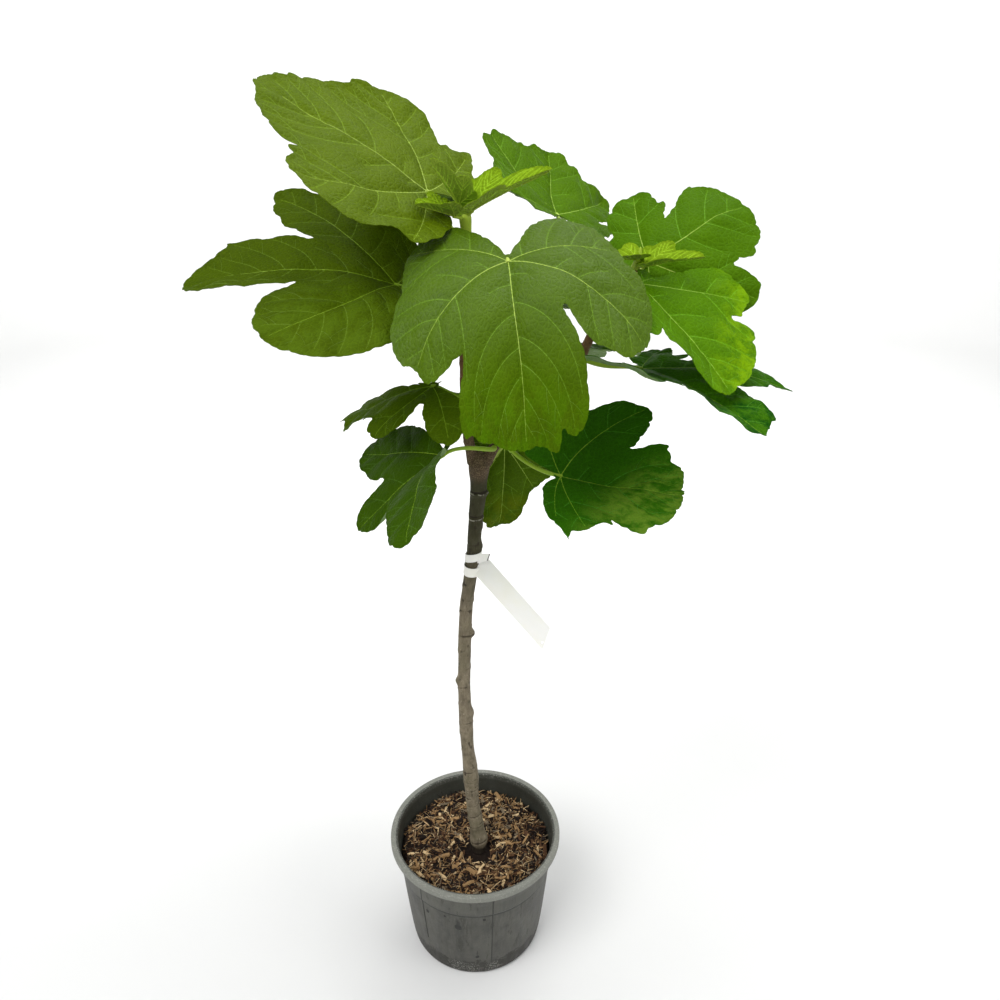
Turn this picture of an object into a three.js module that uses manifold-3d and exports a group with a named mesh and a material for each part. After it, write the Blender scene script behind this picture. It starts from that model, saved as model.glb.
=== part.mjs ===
// A young fig tree standing in a round plastic nursery pot.
//
// Millimetres, +Z up.  The origin is the centre of the pot's flat underside, +X is the right-hand
// side and -Y the front.  The plant is one trunk that forks into two boughs.  Each bough ends in a
// tip of young leaves, and each large leaf, blade and stalk together, is a solid of its own.

import * as THREE from 'three';
import { mergeVertices } from 'three/addons/utils/BufferGeometryUtils.js';
import Module from 'manifold-3d';

const wasm = await Module();
wasm.setup();

// ---------------------------------------------------------------------------------------------
// Driving dimensions

const CLEARANCE = 0.3;            // gap kept between pieces that touch

const POT_HEIGHT = 215;
const RIM_RADIUS = 140;           // outer edge of the rolled rim
const RIM_WIDTH = 11;             // flat ring on top of the rim
const RIM_DROP = 10;              // height of the rim's outer face
const RIM_ROUND = 1.5;            // rounding of the rim's edges
const FLARE_DROP = 34;            // below the top of the rim, where the wall begins to flare out
const FLARE_MIDDLE = 20;          // the flare has widened by a third here
const COLLAR_RADIUS = 126;        // upper band of the wall, under the flare
const COLLAR_DROP = 58;           // from the top of the rim down to the step
const STEP = 1.5;                 // the wall steps in by this much
const STEP_HEIGHT = 2;
const FOOT_RADIUS = 109;
const FOOT_EDGE = 6;              // rounding of the bottom edge
const WALL = 2.6;
const FLOOR = 3.6;
const WALL_HEIGHTS = [45, 90, 125];   // where the tapering wall bends a little
const POT_SIDES = 40;
const MIX_DROP = 32;              // potting mix, below the rim
const MIX_CROWN = 5;              // it is this much higher round the trunk
const MIX_GAP = 1;                // between the mix and the wall
const MIX_SHOULDER = 12;          // the mix falls away over this width at the wall

const FORK = 880;                 // height of the flat cut where the trunk ends and the boughs begin
const LIMB_SIDES = 12;
const LIMB_STEP = 26;             // about one ring of vertices for each of these along a limb

const BLADE_THICKNESS = 2.6;
const BLADE_SPOKES = 56;          // points round a blade's outline
const BLADE_RINGS = [0.3, 0.66, 1];   // each ring has twice the points of the one inside it
const NOTCH = 9;                  // from a leaf's joint back to the notch behind it
const CORNERS = 14;               // the higher, the sharper the corners between lobes and webs
const STALK_SIDES = 6;
const STALK_STEPS = 7;
const STALK_RADII = [3.4, 2.6];   // at the limb and at the joint
const STALK_OVERRUN = 2;          // the stalk runs on under the blade by this much
const STALK_LEAVING = 0.38;       // how far along its length it keeps the direction it leaves in
const STALK_ARRIVING = 0.3;
const STALK_GAP = 0.4;            // between a stalk's foot and the limb it hangs from
const YOUNG_THICKNESS = 1.6;
const YOUNG_SPOKES = 20;
const YOUNG_RADII = [3, 2.2];

// The plastic label: a loop round the trunk and a tail that hangs from it.
const TAG = {
  height: 727, loop: 36, inner: 10.2, thickness: 1.2, sides: 24,
  length: 124, width: 29, point: 14, hole: 2.5, holeInset: 9, side: -20, drop: 44, twist: -36,
};

const GREEN = { deep: 0x2f5a14, mid: 0x47731b, bright: 0x5f9a1c, young: 0x93ad2c };

// Each limb is a list of stations [x, y, z, radius] from its foot to its tip.
const SOIL = POT_HEIGHT - MIX_DROP + MIX_CROWN;
const LEFT_TOP = 1180;
const RIGHT_TOP = 1140;
const TRUNK = [
  [4, -18, SOIL + CLEARANCE, 16], [4, -17, 200, 13], [-1, -12, 240, 11.6], [-6, -8, 290, 10.6],
  [-8, -5, 360, 10], [-16, -2, 430, 9.5], [-14, 0, 500, 9.5], [-12, 0, 570, 9.5], [-8, 0, 650, 9.5],
  [2, 0, 730, 9.5], [8, 0, 800, 10], [12, 0, 850, 11.5], [13, 0, FORK, 14],
];
const LEFT_BOUGH = [
  [5.8, 0, FORK + CLEARANCE, 6.6], [-1, 1, 920, 6.8], [-4, 2, 970, 6.4], [-4, 2, 1040, 5.8],
  [0, 0, 1110, 5.6], [1, 0, LEFT_TOP, 5.4],
];
const RIGHT_BOUGH = [
  [20.2, 0, FORK + CLEARANCE, 6.6], [44, 8, 918, 6.8], [90, 14, 965, 6.6], [136, 10, 1003, 6.2],
  [152, 6, 1045, 5.8], [176, 4, 1095, 5.4], [205, 0, RIGHT_TOP, 5.2],
];

// Leaves.  A leaf hangs from the surface of its limb at a height and a side (a compass angle in
// degrees, 0 = +X, 90 = +Y).  Its stalk ends at the joint, where the blade's main veins meet.
// heading and pitch point the middle vein, and roll turns the blade about it.  The blade is a flat
// sheet bent by droop (along the middle vein) and arch (to the left and right of it), in degrees
// for each 100 mm, from a crease of fold degrees.  sweep curves the side veins forward.
// lobes are [angle from the middle vein, length, half width], from the left basal lobe round to
// the right one.  blunt is the part of a lobe's length that its round end takes, and web is how
// far out the blade is whole: between basal and side lobes, and between side and middle lobes.
const LEAVES = [
  {
    name: 'leaf_top_left', colour: GREEN.mid, limb: 'left_bough', height: 1165, side: 190,
    joint: [-44, 10, 1228], heading: 182, pitch: 33, roll: -20,
    droop: 3, arch: [0, -12], fold: 2, sweep: 11, blunt: 0.46, web: [0.8, 0.74],
    lobes: [[106, 104, 34], [57, 182, 68], [-8, 228, 106], [-68, 176, 60], [-113, 115, 28]],
  },
  {
    name: 'leaf_left', colour: GREEN.deep, limb: 'left_bough', height: 1070, side: 185,
    joint: [-84, -16, 1124], heading: 193, pitch: 17, roll: -11,
    droop: 15, arch: [29, -10], fold: -10, sweep: 9, blunt: 0.45, web: [0.75, 0.4],
    lobes: [[121, 110, 46], [56, 199, 85], [-8, 257, 71], [-62, 221, 47], [-120, 72, 34]],
  },
  {
    name: 'leaf_front', colour: GREEN.mid, limb: 'left_bough', height: 1105, side: 290,
    joint: [50, -97, 1168], heading: -87, pitch: -28, roll: 5,
    droop: 26, arch: [22, 24], fold: -8, sweep: 14, blunt: 0.3, web: [0.85, 0.47],
    lobes: [[114, 120, 47], [77, 180, 61], [3, 222, 109], [-62, 170, 51], [-124, 118, 50]],
  },
  {
    name: 'leaf_top_back', colour: GREEN.bright, limb: 'right_bough', height: 1085, side: 130,
    joint: [115.5, 106, 1187.2], heading: 96, pitch: 12, roll: 25,
    droop: -12, arch: [8, 33], fold: -11, sweep: 8, blunt: 0.41, web: [0.8, 0.7],
    lobes: [[119, 94, 38], [47, 163, 47], [0, 176, 64], [-45, 165, 47], [-118, 68, 28]],
  },
  {
    name: 'leaf_right_upper', colour: GREEN.mid, limb: 'right_bough', height: 1130, side: 45,
    joint: [227, 42, 1139], heading: 13, pitch: 34, roll: 44,
    droop: 21, arch: [9, 0], fold: 12, sweep: 3, blunt: 0.34, web: [0.75, 0.36],
    lobes: [[124, 68, 28], [70, 117, 39], [2, 164, 66], [-58, 143, 34], [-120, 86, 34]],
  },
  {
    name: 'leaf_right_bright', colour: GREEN.bright, limb: 'right_bough', height: 1100, side: 300,
    joint: [203.5, -37, 1130.5], heading: -46, pitch: -28, roll: -9,
    droop: 9, arch: [-9, 18], fold: -10, sweep: 3, blunt: 0.32, web: [0.7, 0.52],
    lobes: [[92, 32, 18], [62, 154, 43], [3, 180, 80], [-50, 116, 33], [-107, 56, 26]],
  },
  {
    name: 'leaf_right_low', colour: GREEN.deep, limb: 'right_bough', height: 1025, side: 330,
    joint: [213, -50, 1030], heading: -43, pitch: 2, roll: -5,
    droop: 17, arch: [5, -16], fold: -8, sweep: 5, blunt: 0.42, web: [0.38, 0.42],
    lobes: [[114, 92, 26], [46, 186, 34], [0, 183, 50], [-56, 130, 30], [-125, 85, 32]],
  },
  {
    name: 'leaf_low_right', colour: GREEN.deep, limb: 'right_bough', height: 915, side: 290,
    joint: [117, -84, 901], heading: -6, pitch: -4, roll: 20,
    droop: 0, arch: [0, 32], fold: -17, sweep: 15, blunt: 0.37, web: [0.75, 0.48],
    lobes: [[121, 90, 37], [68, 151, 41], [-11, 153, 91], [-82, 100, 38], [-102, 80, 22]],
  },
  {
    name: 'leaf_low_back', colour: GREEN.mid, limb: 'trunk', height: 868, side: 60,
    joint: [48, 45, 887], heading: -88, pitch: -83, roll: -22,
    droop: 10, arch: [15, 14], fold: -7, sweep: 5, blunt: 0.38, web: [0.8, 0.6],
    lobes: [[105, 60, 25], [37, 84, 24], [-2, 123, 39], [-39, 78, 22], [-106, 60, 25]],
  },
  {
    name: 'leaf_low_left', colour: GREEN.deep, limb: 'trunk', height: 868, side: 290,
    joint: [-31, -62, 920], heading: -157, pitch: -38, roll: 15,
    droop: 6, arch: [36, 9], fold: -25, sweep: 0, blunt: 0.45, web: [0.6, 0.31],
    lobes: [[122, 40, 21], [57, 185, 37], [-12, 151, 34], [-61, 167, 42], [-130, 43, 15]],
  },
  {
    name: 'leaf_left_back', colour: GREEN.deep, limb: 'left_bough', height: 975, side: 170,
    joint: [-46, -2, 991], heading: 167, pitch: -7, roll: -14,
    droop: 30, arch: [39, -1], fold: -2, sweep: 11, blunt: 0.38, web: [0.4, 0.25],
    lobes: [[122, 98, 26], [56, 102, 26], [8, 145, 28], [-60, 60, 16], [-110, 35, 14]],
  },
  {
    name: 'leaf_back_top', colour: GREEN.mid, limb: 'left_bough', height: 1168, side: 110,
    joint: [-44, 84, 1206], heading: 106, pitch: 4, roll: 0,
    droop: 12, arch: [15, 15], fold: -6, sweep: 10, blunt: 0.4, web: [0.8, 0.5],
    lobes: [[115, 64, 30], [58, 112, 36], [0, 150, 48], [-58, 118, 38], [-115, 65, 30]],
  },
  {
    name: 'leaf_back_left', colour: GREEN.deep, limb: 'left_bough', height: 1092, side: 110,
    joint: [-54, 106, 1104], heading: 150, pitch: -10, roll: 0,
    droop: 12, arch: [15, 15], fold: -6, sweep: 10, blunt: 0.4, web: [0.8, 0.45],
    lobes: [[120, 85, 38], [58, 145, 42], [0, 185, 50], [-58, 140, 42], [-120, 70, 34]],
  },
  {
    name: 'leaf_back_middle', colour: GREEN.mid, limb: 'left_bough', height: 1050, side: 75,
    joint: [28, 105, 1080], heading: 88, pitch: -12, roll: 0,
    droop: 14, arch: [15, 15], fold: -6, sweep: 10, blunt: 0.4, web: [0.8, 0.45],
    lobes: [[120, 95, 42], [60, 160, 46], [0, 195, 56], [-60, 160, 46], [-120, 95, 42]],
  },
  {
    name: 'leaf_back_low', colour: GREEN.deep, limb: 'right_bough', height: 985, side: 80,
    joint: [136, 110, 1012], heading: 72, pitch: -14, roll: 0,
    droop: 14, arch: [16, 16], fold: -6, sweep: 10, blunt: 0.4, web: [0.8, 0.45],
    lobes: [[120, 75, 34], [60, 125, 36], [0, 160, 44], [-60, 125, 36], [-120, 75, 34]],
  },
  {
    name: 'leaf_back_right', colour: GREEN.bright, limb: 'right_bough', height: 1062, side: 100,
    joint: [222, 108, 1098], heading: 62, pitch: -6, roll: 0,
    droop: 12, arch: [15, 15], fold: -6, sweep: 10, blunt: 0.4, web: [0.8, 0.45],
    lobes: [[120, 75, 34], [60, 125, 36], [0, 155, 44], [-60, 125, 36], [-120, 75, 34]],
  },
  {
    name: 'leaf_back_under', colour: GREEN.deep, limb: 'right_bough', height: 908, side: 75,
    joint: [98, 98, 908], heading: 52, pitch: -22, roll: 0,
    droop: 12, arch: [16, 16], fold: -6, sweep: 10, blunt: 0.4, web: [0.8, 0.4],
    lobes: [[120, 62, 28], [60, 100, 30], [0, 130, 38], [-60, 100, 30], [-120, 62, 28]],
  },
];

// The young leaves at the tips, in the same terms.  They spring from the tip's own short shoot.
const YOUNG = { droop: 10, arch: [-20, -20], fold: -30, sweep: 10, blunt: 0.4, web: [0.7, 0.6] };
const LEFT_TIP = {
  name: 'left_tip', shoot: [[1, 0, LEFT_TOP + CLEARANCE, 6.4], [0, -1, 1198, 7.5], [0, -2, 1212, 4]],
  leaves: [
    { ...YOUNG, joint: [-7, -11, 1216], heading: 230, pitch: 44, roll: 0,
      lobes: [[70, 26, 12], [35, 42, 13], [0, 74, 16], [-35, 42, 13], [-70, 26, 12]] },
    { ...YOUNG, joint: [-12, -14, 1203], heading: 225, pitch: 20, roll: -10,
      lobes: [[70, 26, 12], [38, 42, 13], [0, 62, 16], [-38, 42, 13], [-70, 26, 12]] },
    { ...YOUNG, joint: [8, -8, 1208], heading: -13, pitch: 27, roll: 20,
      lobes: [[70, 40, 14], [38, 72, 15], [0, 106, 18], [-35, 62, 13], [-70, 34, 12]] },
  ],
};
const RIGHT_TIP = {
  name: 'right_tip',
  shoot: [[205, 0, RIGHT_TOP + CLEARANCE, 5.4], [208, -4, 1147, 6], [209, -6, 1153, 3.5]],
  leaves: [
    { ...YOUNG, joint: [214, -15, 1148], heading: -22, pitch: 21, roll: 10,
      lobes: [[70, 28, 11], [35, 46, 13], [0, 74, 15], [-35, 46, 12], [-70, 26, 10]] },
    { ...YOUNG, joint: [203, -12, 1156], heading: 210, pitch: 30, roll: 0,
      lobes: [[70, 16, 8], [0, 26, 10], [-70, 16, 8]] },
  ],
};

// ---------------------------------------------------------------------------------------------
// Solids

const radians = THREE.MathUtils.degToRad;
const vector = (x, y, z) => new THREE.Vector3(x, y, z);

function geometryOf(points, faces) {
  const geometry = new THREE.BufferGeometry();
  geometry.setAttribute('position', new THREE.Float32BufferAttribute(points, 3));
  geometry.setIndex(faces);
  return geometry;
}

function solidOf(geometry) {
  const bare = geometry.clone();
  bare.deleteAttribute('normal');
  bare.deleteAttribute('uv');
  const merged = mergeVertices(bare, 1e-4);
  return new wasm.Manifold(new wasm.Mesh({
    numProp: 3,
    vertProperties: new Float32Array(merged.attributes.position.array),
    triVerts: new Uint32Array(merged.index.array),
  }));
}

function join(geometries) {
  const mesh = geometries.map(solidOf).reduce((whole, piece) => whole.add(piece)).getMesh();
  return geometryOf(Array.from(mesh.vertProperties), Array.from(mesh.triVerts));
}

function piece(name, geometry, colour, roughness) {
  const material = new THREE.MeshStandardMaterial({ color: colour, roughness, metalness: 0 });
  const mesh = new THREE.Mesh(geometry, material);
  mesh.name = name;
  return mesh;
}

// A round bar through rings of vertices, closed by a flat cap at each end.  The rings keep their
// turn from one to the next, so the bar doesn't twist.
function loft(centres, tangents, radii, sides) {
  const points = [];
  const faces = [];
  let across = vector(0, 1, 0).cross(tangents[0]);
  if (across.length() < 0.1) across = vector(1, 0, 0).cross(tangents[0]);
  centres.forEach((centre, ring) => {
    across = across.clone().addScaledVector(tangents[ring], -across.dot(tangents[ring])).normalize();
    const up = tangents[ring].clone().cross(across);
    for (let side = 0; side < sides; side += 1) {
      const turn = (2 * Math.PI * side) / sides;
      const point = centre.clone()
        .addScaledVector(across, radii[ring] * Math.cos(turn))
        .addScaledVector(up, radii[ring] * Math.sin(turn));
      points.push(point.x, point.y, point.z);
    }
  });
  const last = centres.length - 1;
  for (let ring = 0; ring < last; ring += 1) {
    for (let side = 0; side < sides; side += 1) {
      const a = ring * sides + side;
      const b = ring * sides + ((side + 1) % sides);
      faces.push(a, b, b + sides, a, b + sides, a + sides);
    }
  }
  [0, last].forEach((ring, end) => {
    const hub = points.length / 3;
    points.push(centres[ring].x, centres[ring].y, centres[ring].z);
    for (let side = 0; side < sides; side += 1) {
      const a = ring * sides + side;
      const b = ring * sides + ((side + 1) % sides);
      faces.push(hub, end ? a : b, end ? b : a);
    }
  });
  return geometryOf(points, faces);
}

// The smooth centre line of a limb, with its radius at any place along it.
function limbOf(stations) {
  const curve = new THREE.CatmullRomCurve3(stations.map(([x, y, z]) => vector(x, y, z)), false,
    'centripetal');
  const along = (part) => {
    const place = part * (stations.length - 1);
    const low = Math.min(Math.floor(place), stations.length - 2);
    const blend = THREE.MathUtils.smoothstep(place - low, 0, 1);
    return {
      centre: curve.getPoint(part),
      tangent: curve.getTangent(part),
      radius: THREE.MathUtils.lerp(stations[low][3], stations[low + 1][3], blend),
    };
  };
  return { curve, along };
}

// How far along a limb, from 0 to 1, it reaches a height.
function placeAt(stations, height) {
  const { along } = limbOf(stations);
  let [low, high] = [0, 1];
  while (high - low > 1e-5) {
    const middle = (low + high) / 2;
    if (along(middle).centre.z < height) low = middle;
    else high = middle;
  }
  return low;
}

function limbGeometry(stations) {
  const { curve, along } = limbOf(stations);
  const steps = Math.max(stations.length - 1, Math.round(curve.getLength() / LIMB_STEP));
  const rings = Array.from({ length: steps + 1 }, (_, step) => along(step / steps));
  const tangents = rings.map((ring) => ring.tangent);
  tangents[0] = vector(0, 0, 1);
  tangents[steps] = vector(0, 0, 1);
  return loft(rings.map((ring) => ring.centre), tangents, rings.map((ring) => ring.radius),
    LIMB_SIDES);
}

// ---------------------------------------------------------------------------------------------
// The pot and what fills it

function lathe(profile, sides) {
  const geometry = new THREE.LatheGeometry(profile.map(([r, z]) => new THREE.Vector2(r, z)), sides);
  return geometry.rotateX(Math.PI / 2);
}

const COLLAR_FOOT = POT_HEIGHT - COLLAR_DROP;

// Outer radius of the tapering wall below the collar; it curves a little inwards.
function potWallRadius(z) {
  const part = THREE.MathUtils.clamp((z - FOOT_EDGE) / (COLLAR_FOOT - FOOT_EDGE), 0, 1);
  return THREE.MathUtils.lerp(FOOT_RADIUS, COLLAR_RADIUS - STEP, part ** 0.8);
}

function potGeometry() {
  const lip = POT_HEIGHT - RIM_DROP;
  const mouth = RIM_RADIUS - RIM_WIDTH;
  const flare = [COLLAR_RADIUS, COLLAR_RADIUS + (mouth - COLLAR_RADIUS) / 3, mouth];
  const outside = [[0, 0], [FOOT_RADIUS - FOOT_EDGE, 0], [FOOT_RADIUS - RIM_ROUND, RIM_ROUND + CLEARANCE]];
  const inside = [[0, FLOOR], [potWallRadius(0) - WALL, FLOOR]];
  outside.push([potWallRadius(0), FOOT_EDGE]);
  [...WALL_HEIGHTS, COLLAR_FOOT].forEach((z) => {
    outside.push([potWallRadius(z), z]);
    inside.push([potWallRadius(z) - WALL, z]);
  });
  outside.push(
    [COLLAR_RADIUS, COLLAR_FOOT + STEP_HEIGHT], [flare[0] + 1, POT_HEIGHT - FLARE_DROP],
    [flare[1] + WALL, POT_HEIGHT - FLARE_MIDDLE], [RIM_RADIUS - RIM_ROUND, lip - 1],
    [RIM_RADIUS, lip], [RIM_RADIUS, POT_HEIGHT - RIM_ROUND], [RIM_RADIUS - RIM_ROUND, POT_HEIGHT],
    [mouth + RIM_ROUND, POT_HEIGHT], [mouth, POT_HEIGHT - RIM_ROUND],
  );
  inside.push(
    [flare[0] - WALL, COLLAR_FOOT + STEP_HEIGHT + 1], [flare[0] + 1 - WALL, POT_HEIGHT - FLARE_DROP],
    [flare[1], POT_HEIGHT - FLARE_MIDDLE],
  );
  return lathe([...outside, ...inside.reverse()], POT_SIDES);
}

function mixGeometry() {
  const top = POT_HEIGHT - MIX_DROP;
  const wall = (z) => potWallRadius(z) - WALL - MIX_GAP;
  const edge = COLLAR_RADIUS - WALL - MIX_GAP;
  const profile = [[0, FLOOR + CLEARANCE], [wall(0) - FOOT_EDGE, FLOOR + CLEARANCE]];
  [...WALL_HEIGHTS, COLLAR_FOOT].forEach((z) => profile.push([wall(z), z]));
  profile.push([edge, top - MIX_CROWN], [edge - MIX_SHOULDER, top], [edge / 2, top + MIX_CROWN / 2]);
  profile.push([edge / 3, top + MIX_CROWN], [0, top + MIX_CROWN]);
  return lathe(profile, POT_SIDES);
}

// ---------------------------------------------------------------------------------------------
// Leaves

// How far the blade reaches from its joint at an angle from the middle vein: the furthest of the
// lobes' round ends and of the webs between them.
function reach(angle, leaf) {
  const { lobes, web, blunt } = leaf;
  const inner = lobes.length - 1;
  const reaches = [NOTCH];
  for (let gap = 0; gap < inner; gap += 1) {
    const [from, longer] = lobes[gap];
    const [to, other] = lobes[gap + 1];
    if (angle <= radians(from) && angle >= radians(to)) {
      const part = (radians(from) - angle) / radians(from - to);
      const share = gap === 0 || gap === inner - 1 ? web[0] : web[1];
      reaches.push(share * THREE.MathUtils.lerp(longer, other, part));
    }
  }
  lobes.forEach(([axis, length, half]) => {
    let turn = angle - radians(axis);
    turn = Math.atan2(Math.sin(turn), Math.cos(turn));
    if (Math.cos(turn) <= 0) return;
    const end = blunt * length;
    const middle = length - end;
    const a = (Math.cos(turn) / end) ** 2 + (Math.sin(turn) / half) ** 2;
    const b = (-2 * Math.cos(turn) * middle) / end ** 2;
    const c = (middle / end) ** 2 - 1;
    const inside = b * b - 4 * a * c;
    if (inside > 0) reaches.push((-b + Math.sqrt(inside)) / (2 * a));
  });
  // a soft maximum rounds the corners where lobes and webs meet
  const furthest = Math.max(...reaches);
  const sum = reaches.reduce((total, r) => total + (r / furthest) ** CORNERS, 0);
  return furthest * sum ** (1 / CORNERS);
}

// Distance run along and down by an arc that starts at a slope and bends by bend per mm.
function arc(distance, slope, bend) {
  const rate = Math.abs(bend) < 1e-6 ? 1e-6 : bend;
  const end = slope + rate * distance;
  return [(Math.sin(end) - Math.sin(slope)) / rate, (Math.cos(slope) - Math.cos(end)) / rate];
}

function leafAxes({ heading, pitch, roll }) {
  const [h, p, r] = [heading, pitch, roll].map(radians);
  const forward = vector(Math.cos(h) * Math.cos(p), Math.sin(h) * Math.cos(p), Math.sin(p));
  const level = vector(-Math.sin(h), Math.cos(h), 0);
  const above = forward.clone().cross(level);
  const left = level.clone().multiplyScalar(Math.cos(r)).addScaledVector(above, Math.sin(r));
  const up = above.clone().multiplyScalar(Math.cos(r)).addScaledVector(level, -Math.sin(r));
  return { forward, left, up };
}

// The place in space of a point of the flat blade, given by its distance and angle from the joint.
function bladePoint(distance, angle, leaf, axes) {
  const swept = angle - Math.sign(angle) * radians(leaf.sweep) * (distance / 100)
    * Math.sin(Math.abs(angle));
  const ahead = distance * Math.cos(swept);
  const aside = distance * Math.sin(swept);
  const [run, drop] = arc(Math.abs(ahead), 0, radians(leaf.droop) / 100);
  const side = aside > 0 ? leaf.arch[0] : leaf.arch[1];
  const [spread, fall] = arc(Math.abs(aside), radians(leaf.fold), radians(side) / 100);
  return vector(...leaf.joint)
    .addScaledVector(axes.forward, run * Math.sign(ahead))
    .addScaledVector(axes.left, spread * Math.sign(aside))
    .addScaledVector(axes.up, -drop - fall);
}

// A sheet of rings of points round the joint, each with twice the points of the one inside it, given
// a thickness.
function bladeGeometry(leaf, thickness, spokes) {
  const axes = leafAxes(leaf);
  const counts = BLADE_RINGS.map((_, ring) => spokes / 2 ** (BLADE_RINGS.length - 1 - ring));
  const sheet = [...leaf.joint];
  const faces = [];
  let first = 1;
  BLADE_RINGS.forEach((share, ring) => {
    const count = counts[ring];
    for (let spoke = 0; spoke < count; spoke += 1) {
      const angle = -Math.PI + (2 * Math.PI * spoke) / count;
      const point = bladePoint(share * reach(angle, leaf), angle, leaf, axes);
      sheet.push(point.x, point.y, point.z);
      const next = first + ((spoke + 1) % count);
      if (ring === 0) faces.push(0, first + spoke, next);
      if (ring === BLADE_RINGS.length - 1) continue;
      const outer = first + count + 2 * spoke;
      const far = first + count + ((2 * spoke + 2) % (2 * count));
      faces.push(first + spoke, outer, outer + 1);
      faces.push(first + spoke, outer + 1, next, next, outer + 1, far);
    }
    first += count;
  });
  const middle = geometryOf(sheet, faces);
  middle.computeVertexNormals();
  const normals = middle.attributes.normal.array;
  const half = thickness / 2;
  const top = sheet.map((value, index) => value + half * normals[index]);
  const bottom = sheet.map((value, index) => value - half * normals[index]);
  const shift = sheet.length / 3;
  const all = [...faces];
  for (let face = 0; face < faces.length; face += 3) {
    all.push(faces[face] + shift, faces[face + 2] + shift, faces[face + 1] + shift);
  }
  const edge = shift - spokes;
  for (let spoke = 0; spoke < spokes; spoke += 1) {
    const a = edge + spoke;
    const b = edge + ((spoke + 1) % spokes);
    all.push(a, a + shift, b + shift, a, b + shift, b);
  }
  return geometryOf([...top, ...bottom], all);
}

// The stalk leaves its foot in one direction and arrives under the blade along the middle vein.
function stalkGeometry(from, leaving, leaf, radii) {
  const { forward } = leafAxes(leaf);
  const joint = vector(...leaf.joint).addScaledVector(forward, STALK_OVERRUN);
  const length = from.distanceTo(joint);
  const curve = new THREE.CubicBezierCurve3(from,
    from.clone().addScaledVector(leaving, STALK_LEAVING * length),
    joint.clone().addScaledVector(forward, -STALK_ARRIVING * length), joint);
  const rings = Array.from({ length: STALK_STEPS + 1 }, (_, step) => step / STALK_STEPS);
  const tangents = rings.map((part) => curve.getTangent(part));
  tangents[0] = leaving.clone();
  return loft(rings.map((part) => curve.getPoint(part)), tangents,
    rings.map((part) => THREE.MathUtils.lerp(radii[0], radii[1], part)), STALK_SIDES);
}

// The surface of a limb at a height, on the side that faces a compass angle.
function perch(stations, height, side) {
  const { centre, tangent, radius } = limbOf(stations).along(placeAt(stations, height));
  const level = vector(Math.cos(radians(side)), Math.sin(radians(side)), 0);
  const out = level.addScaledVector(tangent, -level.dot(tangent)).normalize();
  return { place: centre.addScaledVector(out, radius + STALK_GAP), out };
}

function leafGeometry(leaf, limbs) {
  const { place, out } = perch(limbs[leaf.limb], leaf.height, leaf.side);
  const stalk = stalkGeometry(place, out, leaf, STALK_RADII);
  return join([bladeGeometry(leaf, BLADE_THICKNESS, BLADE_SPOKES), stalk]);
}

// A bough's tip: a short shoot with young leaves fused to it.
function tipGeometry(tip) {
  const [x, y, z] = tip.shoot[1];
  const core = vector(x, y, z);
  const leaves = tip.leaves.flatMap((leaf) => {
    const leaving = vector(...leaf.joint).sub(core).normalize();
    return [
      bladeGeometry(leaf, YOUNG_THICKNESS, YOUNG_SPOKES),
      stalkGeometry(core, leaving, leaf, YOUNG_RADII),
    ];
  });
  return join([limbGeometry(tip.shoot), ...leaves]);
}

// ---------------------------------------------------------------------------------------------
// The label

function tagGeometry() {
  const { along } = limbOf(TRUNK);
  const { centre, tangent } = along(placeAt(TRUNK, TAG.height));
  const outer = TAG.inner + TAG.thickness;
  const half = TAG.loop / 2;
  const loop = lathe([[TAG.inner, -half], [outer, -half], [outer, half], [TAG.inner, half],
    [TAG.inner, -half]], TAG.sides);
  loop.applyQuaternion(new THREE.Quaternion().setFromUnitVectors(vector(0, 0, 1), tangent));
  const wide = TAG.width / 2;
  const outline = new THREE.Shape([
    new THREE.Vector2(0, -wide), new THREE.Vector2(TAG.length - TAG.point, -wide),
    new THREE.Vector2(TAG.length, 0), new THREE.Vector2(TAG.length - TAG.point, wide),
    new THREE.Vector2(0, wide),
  ]);
  const eyelet = new THREE.Path();
  eyelet.absarc(TAG.length - TAG.holeInset, 0, TAG.hole, 0, 2 * Math.PI, true);
  outline.holes.push(eyelet);
  const tail = new THREE.ExtrudeGeometry(outline,
    { depth: TAG.thickness, bevelEnabled: false, curveSegments: 6 });
  tail.translate(0, 0, -TAG.thickness / 2).rotateX(Math.PI / 2).rotateX(radians(TAG.twist));
  tail.rotateY(radians(TAG.drop)).rotateZ(radians(TAG.side));
  const start = vector(Math.cos(radians(TAG.side)), Math.sin(radians(TAG.side)), 0)
    .multiplyScalar(outer - TAG.thickness / 2);
  tail.translate(start.x, start.y, start.z);
  const bore = new THREE.CylinderGeometry(TAG.inner, TAG.inner, 2 * TAG.loop, TAG.sides)
    .rotateX(Math.PI / 2)
    .applyQuaternion(new THREE.Quaternion().setFromUnitVectors(vector(0, 0, 1), tangent));
  const whole = solidOf(loop).add(solidOf(tail).subtract(solidOf(bore))).getMesh();
  return geometryOf(Array.from(whole.vertProperties), Array.from(whole.triVerts))
    .translate(centre.x, centre.y, centre.z);
}

// ---------------------------------------------------------------------------------------------
// The plant

const limbs = { trunk: TRUNK, left_bough: LEFT_BOUGH, right_bough: RIGHT_BOUGH };

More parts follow.
